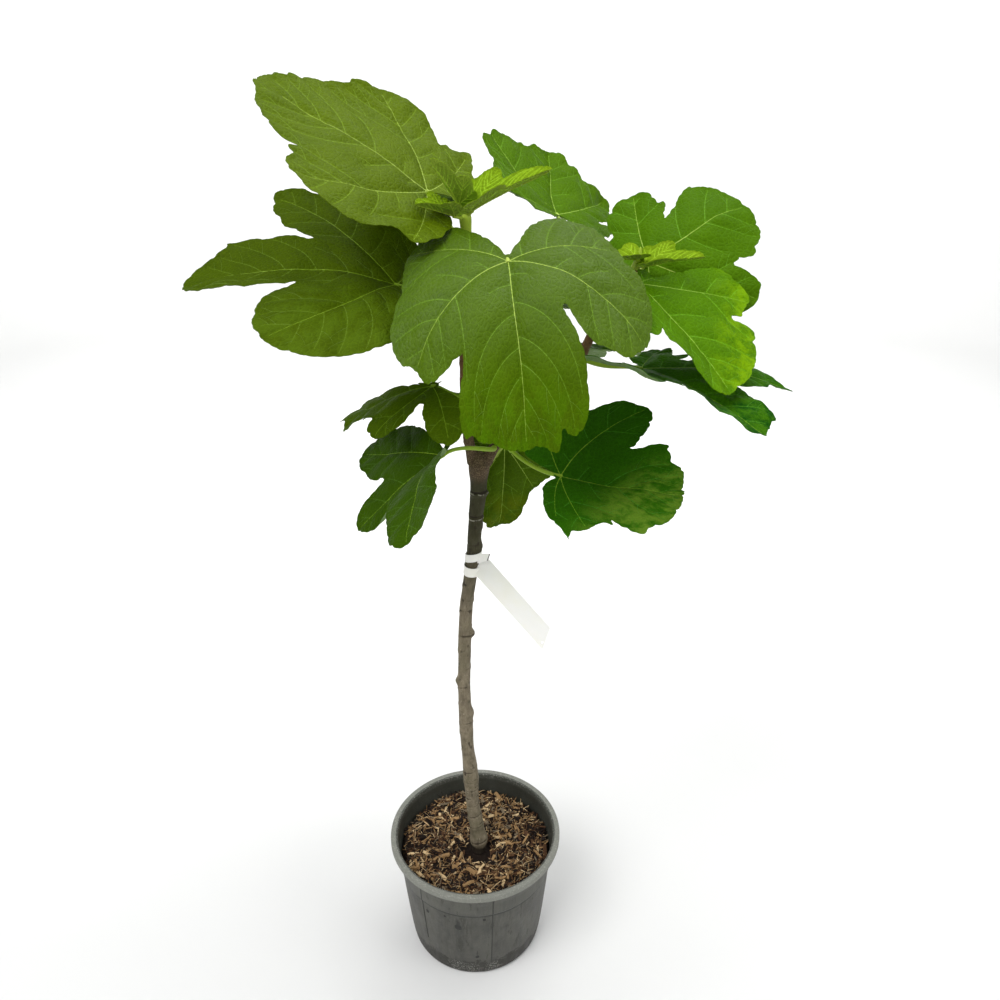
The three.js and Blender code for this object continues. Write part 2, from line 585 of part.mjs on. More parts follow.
const plant = new THREE.Group();
plant.name = 'potted_fig';
plant.add(piece('pot', potGeometry(), 0x55585a, 0.6));
plant.add(piece('potting_mix', mixGeometry(), 0x5b4632, 0.95));
plant.add(piece('trunk', limbGeometry(TRUNK), 0x6a5d50, 0.85));
plant.add(piece('left_bough', limbGeometry(LEFT_BOUGH), 0x7a5a35, 0.8));
plant.add(piece('right_bough', limbGeometry(RIGHT_BOUGH), 0x5a3a24, 0.8));
LEAVES.forEach((leaf) => plant.add(piece(leaf.name, leafGeometry(leaf, limbs), leaf.colour, 0.5)));
[LEFT_TIP, RIGHT_TIP].forEach((tip) => {
  plant.add(piece(tip.name, tipGeometry(tip), GREEN.young, 0.5));
});
plant.add(piece('plant_tag', tagGeometry(), 0xf2f1ec, 0.45));

export default plant;
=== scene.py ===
"""A young fig tree in a nursery pot: the finished look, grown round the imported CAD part.

Lengths are in millimetres up to the moment a mesh is made, which is in metres.  +Z is up, +X the
right-hand side and -Y the front.  The limbs and leaves follow the same rule as the CAD solids, and
carry it on to veins, teeth, stalks, bark and wood chips.
"""

from functools import cached_property
from math import cos, degrees, pi, radians, sin

import bpy
import numpy as np
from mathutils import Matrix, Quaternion, Vector, geometry
from mathutils.kdtree import KDTree


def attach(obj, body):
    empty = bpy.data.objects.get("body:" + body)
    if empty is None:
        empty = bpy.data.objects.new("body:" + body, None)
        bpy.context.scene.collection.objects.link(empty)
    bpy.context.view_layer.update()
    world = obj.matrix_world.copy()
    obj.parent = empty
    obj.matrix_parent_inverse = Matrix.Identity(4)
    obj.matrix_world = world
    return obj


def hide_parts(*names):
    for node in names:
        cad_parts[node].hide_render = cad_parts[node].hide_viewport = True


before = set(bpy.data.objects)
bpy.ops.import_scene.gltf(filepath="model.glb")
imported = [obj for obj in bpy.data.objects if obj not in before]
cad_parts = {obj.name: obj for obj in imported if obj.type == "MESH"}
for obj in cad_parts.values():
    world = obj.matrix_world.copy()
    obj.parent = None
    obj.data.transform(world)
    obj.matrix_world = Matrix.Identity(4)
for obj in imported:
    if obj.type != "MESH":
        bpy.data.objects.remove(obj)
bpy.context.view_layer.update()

MM = 0.001
UP = np.array([0.0, 0.0, 1.0])

# ---------------------------------------------------------------------------------------------
# Driving dimensions, the same as in the CAD source

CLEARANCE = 0.3

POT_HEIGHT = 215
RIM_RADIUS = 140
RIM_WIDTH = 11
RIM_DROP = 10
FLARE_DROP = 34
FLARE_MIDDLE = 20
COLLAR_RADIUS = 126
COLLAR_DROP = 58
STEP = 1.5
STEP_HEIGHT = 2
FOOT_RADIUS = 109
FOOT_EDGE = 6
WALL = 2.6
FLOOR = 3.6
COLLAR_FOOT = POT_HEIGHT - COLLAR_DROP
MIX_TOP = 183
MIX_CROWN = 5
MIX_GAP = 1

FORK = 880
SOIL = MIX_TOP + MIX_CROWN
LEFT_TOP = 1180
RIGHT_TOP = 1140

# Each limb is a list of stations [x, y, z, radius] from its foot to its tip.
LIMBS = {
    "trunk": [
        [4, -18, SOIL + CLEARANCE, 16], [4, -17, 200, 13], [-1, -12, 240, 11.6], [-6, -8, 290, 10.6],
        [-8, -5, 360, 10], [-16, -2, 430, 9.5], [-14, 0, 500, 9.5], [-12, 0, 570, 9.5],
        [-8, 0, 650, 9.5], [2, 0, 730, 9.5], [8, 0, 800, 10], [12, 0, 850, 11.5], [13, 0, FORK, 14],
    ],
    "left_bough": [
        [5.8, 0, FORK + CLEARANCE, 6.6], [-1, 1, 920, 6.8], [-4, 2, 970, 6.4], [-4, 2, 1040, 5.8],
        [0, 0, 1110, 5.6], [1, 0, LEFT_TOP, 5.4],
    ],
    "right_bough": [
        [20.2, 0, FORK + CLEARANCE, 6.6], [44, 8, 918, 6.8], [90, 14, 965, 6.6], [136, 10, 1003, 6.2],
        [152, 6, 1045, 5.8], [176, 4, 1095, 5.4], [205, 0, RIGHT_TOP, 5.2],
    ],
}

NOTCH = 9                      # from a leaf's joint back to the notch behind it
CORNERS = 14                   # the higher, the sharper the corners between lobes and webs
STALK_LEAVING = 0.38
STALK_ARRIVING = 0.3
STALK_OVERRUN = 2
STALK_GAP = 0.4
STALK_SIDES = 14


def leaf(name, paint, foot, joint, turn, bends, lobes, **more):
    """The measures of one leaf.

    foot is the limb it hangs from, the height there and the side as a compass angle.  The blade's
    main veins meet at the joint.  turn is heading, pitch and roll.  bends are droop along the
    middle vein and arch to its left and right in degrees for each 100 mm, the crease's fold, and
    sweep, which curves the side veins forward.  Each lobe is [angle from the middle vein, length,
    half width].  blunt is how much of a lobe its round end takes, and web how far out the blade is
    whole, between basal and side lobes and between side and middle lobes.  Each trim is [angle,
    change in reach, width in degrees] of a small bulge or notch in the outline.  Each of the bulges
    is like a lobe, but has no vein.  tone is the colour of the upper face, and gloss and patch are
    as leaf_top takes them.
    """
    droop, arch_left, arch_right, fold, sweep = bends
    return dict(name=name, paint=paint, foot=foot, joint=np.array(joint, float), turn=turn,
                droop=droop, arch=(arch_left, arch_right), fold=fold, sweep=sweep, lobes=lobes,
                **more)


LEAVES = [
    leaf("leaf_top_left", "mid", ("left_bough", 1165, 190), (-44, 10, 1228), (182, 33, -20),
         (3, 0, -12, 2, 11), [(106, 104, 34), (57, 182, 68), (-8, 228, 106), (-68, 176, 60), (-113, 115, 28)],
         blunt=0.46, web=(0.8, 0.74), tone=(0.075, 0.122, 0.001), gloss=0.06,
         trims=[(5, -5, 5), (23, 6, 4), (30, 16, 5), (35, -14, 2), (39, 6, 4), (44.5, -5, 2.5),
                (62, -3, 5), (84, 12, 5), (96, -3, 2), (107, 6, 5), (117, -5, 4),
                (128, -6, 10), (-25, -5, 2), (-31, -6, 2.5), (-49, 12, 7), (-57, 12, 6),
                (-72, -4, 8), (-85, -4, 8), (-94, -24, 4), (-114, 9, 4), (-123, -9, 4)]),
    leaf("leaf_left", "deep", ("left_bough", 1070, 185), (-84, -16, 1124), (193, 17, -11),
         (15, 29, -10, -10, 9),
         [(121, 110, 46), (56, 199, 85), (-8, 257, 71), (-62, 221, 47), (-120, 72, 34)],
         # Its dark tone and the paler patch on its lower lobe are painted shade: the leaf above shades its
         # upper lobe
         blunt=0.45, web=(0.75, 0.4), tone=(0.048, 0.082, 0.001),
         trims=[(-67, 6, 5), (-58, -6, 4), (-44, 14, 4), (-38.5, -22, 2), (-31.5, 40, 3.6),
                (-26, 10, 4), (11, 8, 3), (18, -36, 4), (25, -5, 3)],
         bulges=[(-99, 122, 30)],
         patch=((0.062, 0.108, 0.003), (0, 1), 0.0, 0.08)),
    leaf("leaf_front", "mid", ("left_bough", 1105, 290), (50, -97, 1168), (-87, -28, 5),
         (26, 22, 24, -8, 14),
         [(114, 120, 47), (77, 180, 61), (3, 222, 109), (-62, 170, 51), (-124, 118, 50)],
         blunt=0.3, web=(0.85, 0.47), tone=(0.055, 0.108, 0.001),
         trims=[(-158, -60, 8), (-112, 4, 10), (-87, 17, 10), (-63, -7, 5), (-51, 6, 5),
                (-33, 22, 4.5), (-24, 4, 3), (20, 13, 5), (24.8, -14, 1.8), (28, -3, 2),
                (57, -10, 5), (108, 8, 6)],
         bulges=[(148, 107, 13), (33, 210, 28), (-35.5, 116, 7)],
         patch=((0.062, 0.14, 0.001), (1, 0), 0.1, 0.2), gloss=(0.15, 0.02)),
    leaf("leaf_top_back", "bright", ("right_bough", 1085, 130), (115.5, 106, 1187.2), (96, 12, 25),
         (-12, 8, 33, -11, 8), [(119, 94, 38), (47, 163, 47), (0, 176, 64), (-45, 165, 47), (-118, 68, 28)],
         blunt=0.41, web=(0.8, 0.7), tone=(0.055, 0.128, 0.001),
         trims=[(70, -5, 5), (51, -9, 4), (40, -8, 4), (36, 14, 8), (25, 8, 4), (20, -8, 5),
                (6, -9, 5), (-14, -8, 3), (-49, 9, 4), (-57, -8, 3), (-67, -42, 5),
                (90, 4, 6), (148, 5, 10), (168, -6, 7)]),
    leaf("leaf_right_upper", "mid", ("right_bough", 1130, 45), (227, 42, 1139), (13, 34, 44),
         (21, 9, 0, 12, 3), [(124, 68, 28), (70, 117, 39), (2, 164, 66), (-58, 143, 34), (-120, 86, 34)],
         blunt=0.34, web=(0.75, 0.36), tone=(0.052, 0.13, 0.001),
         trims=[(80, 4, 6), (50, -7, 4), (46, 9, 4), (39.5, -6, 3), (35, 12, 3), (-33, 16, 5),
                (-50, 4, 5), (-72, 4, 4)],
         bulges=[(38, 74, 9), (-35, 98, 10)]),
    leaf("leaf_right_bright", "bright", ("right_bough", 1100, 300), (203.5, -37, 1130.5), (-46, -28, -9),
         (9, -9, 18, -10, 3), [(92, 32, 18), (62, 154, 43), (3, 180, 80), (-50, 116, 33), (-107, 56, 26)],
         blunt=0.32, web=(0.7, 0.52), tone=(0.062, 0.16, 0.001),
         trims=[(85, 10, 5), (54, -8, 5), (47, -20, 2.2), (44, 13, 5), (33, 2, 4), (8, -5, 12),
                (-14, -17, 4), (-19, -24, 4), (-24, -9, 4), (-28, -33, 7)],
         bulges=[(38, 152, 15), (-36, 112, 14)],
         # This patch is painted light: brighter yellow-green where light shines through the blade
         patch=((0.15, 0.29, 0.001), (0.7, 0.7), 0.08, 0.15)),
    leaf("leaf_right_low", "deep", ("right_bough", 1025, 330), (213, -50, 1030), (-43, 2, -5),
         (17, 5, -16, -8, 5), [(114, 92, 26), (46, 186, 34), (0, 183, 50), (-56, 130, 30), (-125, 85, 32)],
         blunt=0.42, web=(0.38, 0.42), tone=(0.034, 0.120, 0.001),
         trims=[(133, -20, 8), (77, 16, 6), (68, -25, 6), (50, -10, 3), (44.5, 6, 2),
                (40, -16, 3), (25, 5, 3), (14, 14, 4), (3, -4, 3), (-20, -50, 3),
                (-25.5, -26, 4.5), (-50, -22, 16)],
         bulges=[(70, 70, 14)],
         patch=((0.006, 0.055, 0.001), (1, 0), 0.08, 0.13)),
    leaf("leaf_low_right", "deep", ("right_bough", 915, 290), (117, -84, 901), (-6, -4, 20),
         (0, 0, 32, -17, 15), [(121, 90, 37), (68, 151, 41), (-11, 153, 91), (-82, 100, 38), (-102, 80, 22)],
         blunt=0.37, web=(0.75, 0.48), tone=(0.021, 0.095, 0.001),
         trims=[(87, -6, 4), (75, -3, 4), (46, 5, 4), (38, 26, 5), (30, 3, 4), (23, -6, 4),
                (15, 3, 5), (-50, -3, 4), (-57.5, 12, 3), (-63.5, 12, 3), (-80, -2, 5),
                (-97, 16, 2.2), (-116, -12, 7), (-128, -12, 8)],
         patch=((0.1, 0.19, 0.014), (1, -0.75), 0.05, 0.12)),
    leaf("leaf_low_back", "mid", ("trunk", 868, 60), (48, 45, 887), (-88, -83, -22),
         (10, 15, 14, -7, 5), [(105, 60, 25), (37, 84, 24), (-2, 123, 39), (-39, 78, 22), (-106, 60, 25)],
         blunt=0.38, web=(0.8, 0.6), tone=(0.05, 0.1, 0.002),
         trims=[(25, 5, 5), (-14, 6, 5), (-21, 4, 3)],
         bulges=[(66, 92, 34)],
         patch=((0.082, 0.122, 0.002), (1, 0), 0.06, 0.09)),
    leaf("leaf_low_left", "deep", ("right_bough", 902, 262), (-31, -62, 920), (-157, -38, 15),
         (6, 36, 9, -25, 0), [(122, 40, 21), (57, 185, 37), (-12, 151, 34), (-61, 167, 42), (-130, 43, 15)],
         blunt=0.45, web=(0.6, 0.31), tone=(0.03, 0.071, 0.001),
         trims=[(125, -26, 25), (98, -12, 8), (87, 7, 4), (80, -12, 3), (68, 4, 4), (60, -5, 4),
                (48, 5, 4), (38, 10, 4), (22, 45, 5), (4, 6, 3), (-31, -5, 3),
                (-40, 6, 4), (-85, 5, 6), (-104, -17, 8), (-125, -32, 20)]),
    leaf("leaf_left_back", "deep", ("left_bough", 975, 170), (-46, -2, 991), (167, -7, -14),
         (30, 39, -1, -2, 11), [(122, 98, 26), (56, 102, 26), (8, 145, 28), (-60, 60, 16), (-110, 35, 14)],
         blunt=0.38, web=(0.4, 0.25), tone=(0.057, 0.104, 0.001),
         trims=[(122, 6, 14), (79, -8, 3), (48, 4, 5), (30, 42, 6), (26, -18, 4),
                (13, 6, 4), (-3, 34, 4), (-13, -14, 3), (-60, -60, 26), (-115, -40, 26)]),
    leaf("leaf_back_top", "mid", ("left_bough", 1168, 110), (-44, 84, 1206), (106, 4, 0),
         (12, 15, 15, -6, 10), [(115, 64, 30), (58, 112, 36), (0, 150, 48), (-58, 118, 38), (-115, 65, 30)],
         blunt=0.4, web=(0.8, 0.5), tone=(0.055, 0.112, 0.001)),
    leaf("leaf_back_left", "deep", ("left_bough", 1092, 110), (-54, 106, 1104), (150, -10, 0),
         (12, 15, 15, -6, 10), [(120, 85, 38), (58, 145, 42), (0, 185, 50), (-58, 140, 42), (-120, 70, 34)],
         blunt=0.4, web=(0.8, 0.45), tone=(0.036, 0.078, 0.001)),
    leaf("leaf_back_middle", "mid", ("left_bough", 1050, 75), (28, 105, 1080), (88, -12, 0),
         (14, 15, 15, -6, 10), [(120, 95, 42), (60, 160, 46), (0, 195, 56), (-60, 160, 46), (-120, 95, 42)],
         blunt=0.4, web=(0.8, 0.45), tone=(0.05, 0.104, 0.001)),
    leaf("leaf_back_low", "deep", ("right_bough", 985, 80), (136, 110, 1012), (72, -14, 0),
         (14, 16, 16, -6, 10), [(120, 75, 34), (60, 125, 36), (0, 160, 44), (-60, 125, 36), (-120, 75, 34)],
         blunt=0.4, web=(0.8, 0.45), tone=(0.034, 0.090, 0.001)),
    leaf("leaf_back_right", "bright", ("right_bough", 1062, 100), (222, 108, 1098), (62, -6, 0),
         (12, 15, 15, -6, 10), [(120, 75, 34), (60, 125, 36), (0, 155, 44), (-60, 125, 36), (-120, 75, 34)],
         blunt=0.4, web=(0.8, 0.45), tone=(0.058, 0.14, 0.001)),
    leaf("leaf_back_under", "deep", ("right_bough", 908, 75), (98, 98, 908), (52, -22, 0),
         (12, 16, 16, -6, 10), [(120, 62, 28), (60, 100, 30), (0, 130, 38), (-60, 100, 30), (-120, 62, 28)],
         blunt=0.4, web=(0.8, 0.4), tone=(0.030, 0.080, 0.001)),
]


def young_leaf(joint, turn, lobes):
    """A leaf that has just opened at a bough's tip, still folded along its middle vein."""
    return leaf("young", "young", None, joint, turn, (10, -20, -20, -30, 10), lobes,
                blunt=0.4, web=(0.7, 0.6), tone=(0.15, 0.25, 0.006))


TIPS = {
    "left_tip": {
        "shoot": [[1, 0, LEFT_TOP + CLEARANCE, 6.4], [0, -1, 1198, 7.5], [0, -2, 1212, 4]],
        "leaves": [
            young_leaf((-7, -11, 1216), (236, 49, 0),
                       [(70, 26, 12), (35, 42, 13), (0, 74, 16), (-35, 42, 13), (-70, 26, 12)]),
            young_leaf((-12, -14, 1203), (225, 20, -10),
                       [(70, 26, 12), (38, 42, 13), (0, 62, 16), (-38, 42, 13), (-70, 26, 12)]),
            young_leaf((8, -8, 1208), (-13, 31, 20),
                       [(70, 40, 16), (38, 58, 17), (0, 106, 20), (-35, 66, 15), (-70, 36, 13)]),
        ],
    },
    "right_tip": {
        "shoot": [[205, 0, RIGHT_TOP + CLEARANCE, 5.4], [208, -4, 1147, 6], [209, -6, 1153, 3.5]],
        "leaves": [
            young_leaf((212, -17, 1145), (-20, 15, 16),
                       [(70, 28, 11), (35, 46, 13), (0, 74, 15), (-35, 46, 12), (-70, 26, 10)]),
            young_leaf((205, -14, 1153), (205, 8, -10), [(70, 24, 13), (0, 30, 14), (-70, 24, 13)]),
        ],
    },
}

# What the finer leaves add, for full-grown and for young ones: the mesh's spacing, the blade's
# thickness, the veins' half widths and spacing, the relief between them, and the margin's teeth.
GROWN = dict(spacing=3.3, thickness=0.7, main=1.5, side=0.5, fork=0.3, pitch=33, leaving=80,
             quilt=3.2, quilt_width=8, groove=1.7, wave=4.0, tooth=1.2, tooth_pitch=11.5,
             scallop=2.6, scallop_pitch=43, stalk=(3.3, 2.3))
YOUNG = dict(spacing=1.6, thickness=0.5, main=0.9, side=0.42, fork=0.25, pitch=7.5, leaving=62,
             quilt=1.3, quilt_width=2.0, groove=0.6, wave=0.8, tooth=0.9, tooth_pitch=6,
             scallop=1.2, scallop_pitch=21, stalk=(2.8, 1.9))


# ---------------------------------------------------------------------------------------------
# Meshes

HASH_AXES = np.array([374761393, 668265263, 973156987])
HASH_MIX = 1274126177
HASH_WORD = 0xFFFFFFFF


def noise(points, size, seed):
    """Smooth random values from -1 to 1 at points, with features about size across."""
    place = np.atleast_2d(points) / size
    if place.shape[1] == 2:
        place = np.c_[place, np.zeros(len(place))]
    cell = np.floor(place).astype(np.int64)
    part = place - cell
    part = part * part * (3 - 2 * part)
    total = np.zeros(len(place))
    for corner in np.ndindex(2, 2, 2):
        key = (cell + corner) @ HASH_AXES + seed * HASH_MIX
        key = (key ^ (key >> 13)) & HASH_WORD
        key = (key * HASH_MIX) & HASH_WORD
        key = key ^ (key >> 16)
        weight = np.prod(np.where(corner, part, 1 - part), axis=1)
        total += weight * (key / 2 ** 31 - 1)
    return total


def unit(vectors):
    return vectors / np.maximum(np.linalg.norm(vectors, axis=-1, keepdims=True), 1e-9)


def bell(gap, width):
    """1 where the gap is 0, falling smoothly to nothing at about twice the width."""
    return np.exp(-(gap / width) ** 2)


def circle(sides):
    return np.linspace(0, 2 * pi, sides, endpoint=False)


def off(turn, side):
    """Angles measured from a direction in degrees, from -pi to pi."""
    return (turn - radians(side) + pi) % (2 * pi) - pi


def facing(side):
    """The level direction at a compass angle in degrees."""
    return np.array([cos(radians(side)), sin(radians(side)), 0])


def polar(distance, angle):
    return np.stack([distance * np.cos(angle), distance * np.sin(angle)], axis=-1)


def run_length(path):
    """How far along a path each of its points is."""
    return np.r_[0, np.cumsum(np.linalg.norm(np.diff(path, axis=0), axis=1))]


def at(places, length, path):
    """The points of a path where its length, or its height, has the values places."""
    return np.stack([np.interp(places, length, column) for column in path.T], axis=1)


def ring_faces(rings, sides):
    """Triangles between neighbouring rings of vertices."""
    ring, side = np.meshgrid(np.arange(rings - 1), np.arange(sides), indexing="ij")
    a = (ring * sides + side).ravel()
    b = (ring * sides + (side + 1) % sides).ravel()
    return np.r_[np.c_[a, b, b + sides], np.c_[a, b + sides, a + sides]]


def capped(rings, sides):
    """Triangles of rings of vertices and of both ends, whose middles are the last two points."""
    side = np.arange(sides)
    after = (side + 1) % sides
    last = (rings - 1) * sides
    hub = np.full(sides, rings * sides)
    return np.r_[ring_faces(rings, sides), np.c_[hub, after, side],
                 np.c_[hub + 1, last + side, last + after]]


def swept(path, across, beyond, wide, tall, sides):
    """A closed tube along a path, with half widths in two directions square to it."""
    turn = circle(sides)[None, :, None]
    rings = path[:, None] + across[:, None] * wide * np.cos(turn) + beyond[:, None] * tall * np.sin(turn)
    return np.r_[rings.reshape(-1, 3), path[:1], path[-1:]], capped(len(path), sides)


def carried(tangents, first):
    """A direction square to each tangent that turns as little as it can from one to the next."""
    across = []
    last = first
    for tangent in tangents:
        last = unit(last - tangent * (last @ tangent))
        across.append(last)
    return np.array(across)


def tube(path, wide, tall, sides, normals=None):
    """A closed tube with an oval section: half widths wide across the normals and tall along them."""
    path = np.asarray(path, float)
    tangents = unit(np.gradient(path, axis=0))
    if normals is None:
        start = np.cross(tangents[0], [0, 1, 0] if abs(tangents[0][1]) < 0.9 else [1, 0, 0])
        normals = carried(tangents, unit(start))
    normals = unit(normals - tangents * np.sum(normals * tangents, axis=1, keepdims=True))
    wide, tall = (np.broadcast_to(half, len(path))[:, None, None] for half in (wide, tall))
    return swept(path, np.cross(tangents, normals), normals, wide, tall, sides)


def flat_mesh(points, rim):
    """Points and upward triangles of a flat shape whose outline is the first rim points."""
    found = geometry.delaunay_2d_cdt([Vector(p) for p in points], [], [list(range(rim))], 1, 1e-4)
    flat = np.array([tuple(p) for p in found[0]])
    faces = np.array([f for f in found[2] if len(f) == 3])
    a, b, c = (flat[faces[:, k]] for k in range(3))
    area = (b[:, 0] - a[:, 0]) * (c[:, 1] - a[:, 1]) - (b[:, 1] - a[:, 1]) * (c[:, 0] - a[:, 0])
    faces[area < 0] = faces[area < 0][:, ::-1]
    return flat, faces


def both_sides(faces, count):
    """Triangles of a thin sheet's top, of its underside count points on, and of its edge."""
    directed = np.r_[faces[:, [0, 1]], faces[:, [1, 2]], faces[:, [2, 0]]]
    _, first, uses = np.unique(np.sort(directed, axis=1), axis=0, return_index=True, return_counts=True)
    start, end = directed[first[uses == 1]].T
    edge = np.r_[np.c_[start, start + count, end + count], np.c_[start, end + count, end]]
    return faces, faces[:, ::-1] + count, edge


def placed(name, data):
    """A new object in the scene."""
    shown = bpy.data.objects.new(name, data)
    bpy.context.scene.collection.objects.link(shown)
    return shown


class Model:
    """Collects points in millimetres and triangles, and makes one piece of them.

    Each triangle has a shade, which is the number of its material.  Each point has a mark of three
    numbers for the material to read, such as its place on the flat leaf.
    """

    def __init__(self):
        self.points, self.faces, self.shades, self.marks = [], [], [], []
        self.count = 0

    def add(self, points, faces, shade=0, marks=None):
        points = np.asarray(points, float)
        self.points.append(points)
        self.faces.append(np.asarray(faces) + self.count)
        self.shades.append(np.broadcast_to(shade, len(faces)))
        self.marks.append(points if marks is None else marks)
        self.count += len(points)

    def piece(self, name, nodes, materials, sharp=60):
        faces = np.concatenate(self.faces)
        mesh = bpy.data.meshes.new(name)
        mesh.vertices.add(self.count)
        mesh.vertices.foreach_set("co", (np.concatenate(self.points) * MM).ravel())
        mesh.loops.add(faces.size)
        mesh.loops.foreach_set("vertex_index", faces.ravel().astype(np.int32))
        mesh.polygons.add(len(faces))
        mesh.polygons.foreach_set("loop_start", np.arange(0, faces.size, 3, dtype=np.int32))
        mesh.polygons.foreach_set("material_index", np.concatenate(self.shades).astype(np.int32))
        mark = mesh.attributes.new("mark", "FLOAT_VECTOR", "POINT")
        mark.data.foreach_set("vector", (np.concatenate(self.marks) * MM).ravel())
        for material in materials:
            mesh.materials.append(material)
        mesh.update(calc_edges=True)
        mesh.shade_smooth()
        mesh.set_sharp_from_angle(angle=radians(sharp))
        shown = placed(name, mesh)
        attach(shown, "root")
        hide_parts(*nodes)


# ---------------------------------------------------------------------------------------------
# Materials.  Their lengths are in metres.


class Paint:
    """A node material on one Principled shader, whose colour and relief are laid on coat by coat."""

    def __init__(self, name, specular, roughness=0.5):
        self.material = bpy.data.materials.new(name)
        self.material.use_nodes = True
        self.tree = self.material.node_tree
        self.shader = next(n for n in self.tree.nodes if n.type == "BSDF_PRINCIPLED")
        self.feed(self.shader.inputs["Specular IOR Level"], specular)
        self.feed(self.shader.inputs["Roughness"], roughness)
        self.colour = self.relief = None

    @cached_property
    def place(self):
        return self.node("ShaderNodeTexCoord").outputs["Object"]

    @cached_property
    def mark(self):
        return self.node("ShaderNodeAttribute", attribute_name="mark").outputs["Vector"]

    def feed(self, socket, value):
        if isinstance(value, bpy.types.NodeSocket):
            self.tree.links.new(value, socket)
        else:
            socket.default_value = value

    def node(self, kind, inputs=(), **settings):
        made = self.tree.nodes.new(kind)
        for key, value in settings.items():
            setattr(made, key, value)
        for socket, value in dict(inputs).items():
            self.feed(made.inputs[socket], value)
        return made

    def math(self, operation, first, second):
        return self.node("ShaderNodeMath", {0: first, 1: second}, operation=operation).outputs[0]

    def times(self, first, second):
        return self.math("MULTIPLY", first, second)

    def vector(self, operation, first, second, output="Vector"):
        inputs = {0: first, 1: second}
        return self.node("ShaderNodeVectorMath", inputs, operation=operation).outputs[output]

    def axis(self, vector, letter):
        return self.node("ShaderNodeSeparateXYZ", {"Vector": vector}).outputs[letter]

    def stretch(self, vector, scale):
        return self.node("ShaderNodeMapping", {"Vector": vector, "Scale": scale}).outputs["Vector"]

    def noise(self, vector, size, detail=3, roughness=0.55):
        """Noise from 0 to 1 with features about size across."""
        return self.node("ShaderNodeTexNoise", {"Vector": vector, "Scale": 1 / size, "Detail": detail,
                                                "Roughness": roughness}).outputs[0]

    def cells(self, vector, size):
        """How far each place on the flat is from the edge of its cell."""
        return self.node("ShaderNodeTexVoronoi", {"Vector": vector, "Scale": 1 / size},
                         feature="DISTANCE_TO_EDGE", voronoi_dimensions="2D").outputs["Distance"]

    def ramp(self, value, low, high, to=(0, 1)):
        """value from low to high, brought to the range to and held there."""
        return self.node("ShaderNodeMapRange", {"Value": value, "From Min": low, "From Max": high,
                                                "To Min": to[0], "To Max": to[1]},
                         interpolation_type="SMOOTHSTEP").outputs["Result"]

    def patches(self, vector, size, low, high, to=(0, 1), detail=3, roughness=0.55):
        """Noise from low to high, brought to the range to and held there."""
        return self.ramp(self.noise(vector, size, detail, roughness), low, high, to)

    def ragged(self, value, vector, size, reach, detail=3, roughness=0.55):
        """value, shifted by up to reach either way, for a ragged edge."""
        shift = self.patches(vector, size, 0, 1, (-reach, reach), detail, roughness)
        return self.math("ADD", value, shift)

    def near(self, vector, centre, full, none, strength=1.0):
        """strength near a centre, falling to nothing between two distances from it."""
        gap = self.vector("DISTANCE", vector, centre, "Value")
        return self.ramp(self.ragged(gap, vector, 0.006, 0.002), full, none, (strength, 0))

    def coat(self, share, tint, under=None):
        """Lays tint over the colour so far, or over the colour under, as thick as share."""
        layer = self.node("ShaderNodeMix", {0: share}, data_type="RGBA")
        for socket, colour in ((6, self.colour if under is None else under), (7, tint)):
            if not isinstance(colour, bpy.types.NodeSocket):
                colour = (*colour, 1.0)
            self.feed(layer.inputs[socket], colour)
        self.colour = layer.outputs[2]
        self.feed(self.shader.inputs["Base Color"], self.colour)

    def dull(self, vector, size, to, low=0.2):
        """Uneven roughness, over the range to."""
        rough = self.patches(vector, size, low, 1 - low, to)
        self.feed(self.shader.inputs["Roughness"], rough)

    def bump(self, height, distance):
        """Relief of a height from 0 to 1 times distance, on top of the relief so far."""
        inputs = {"Height": height, "Distance": distance, "Strength": 1.0}
        if self.relief is not None:
            inputs["Normal"] = self.relief
        self.relief = self.node("ShaderNodeBump", inputs).outputs["Normal"]
        self.feed(self.shader.inputs["Normal"], self.relief)


def grained(name, specular, dark, light, grain, dull=None, relief=None, stretch=(1, 1, 1)):
    """A material of two colours mixed by noise.

    grain is the noise's size, detail and roughness.  dull is the size and the range of the uneven
    roughness.  relief is the size, detail and depth of a fine relief, drawn out by stretch.
    """
    paint = Paint(name, specular)
    paint.coat(paint.noise(paint.place, *grain), light, dark)
    if dull:
        paint.dull(paint.place, *dull)
    if relief:
        size, detail, depth = relief
        paint.bump(paint.noise(paint.stretch(paint.place, stretch), size, detail), depth)
    return paint


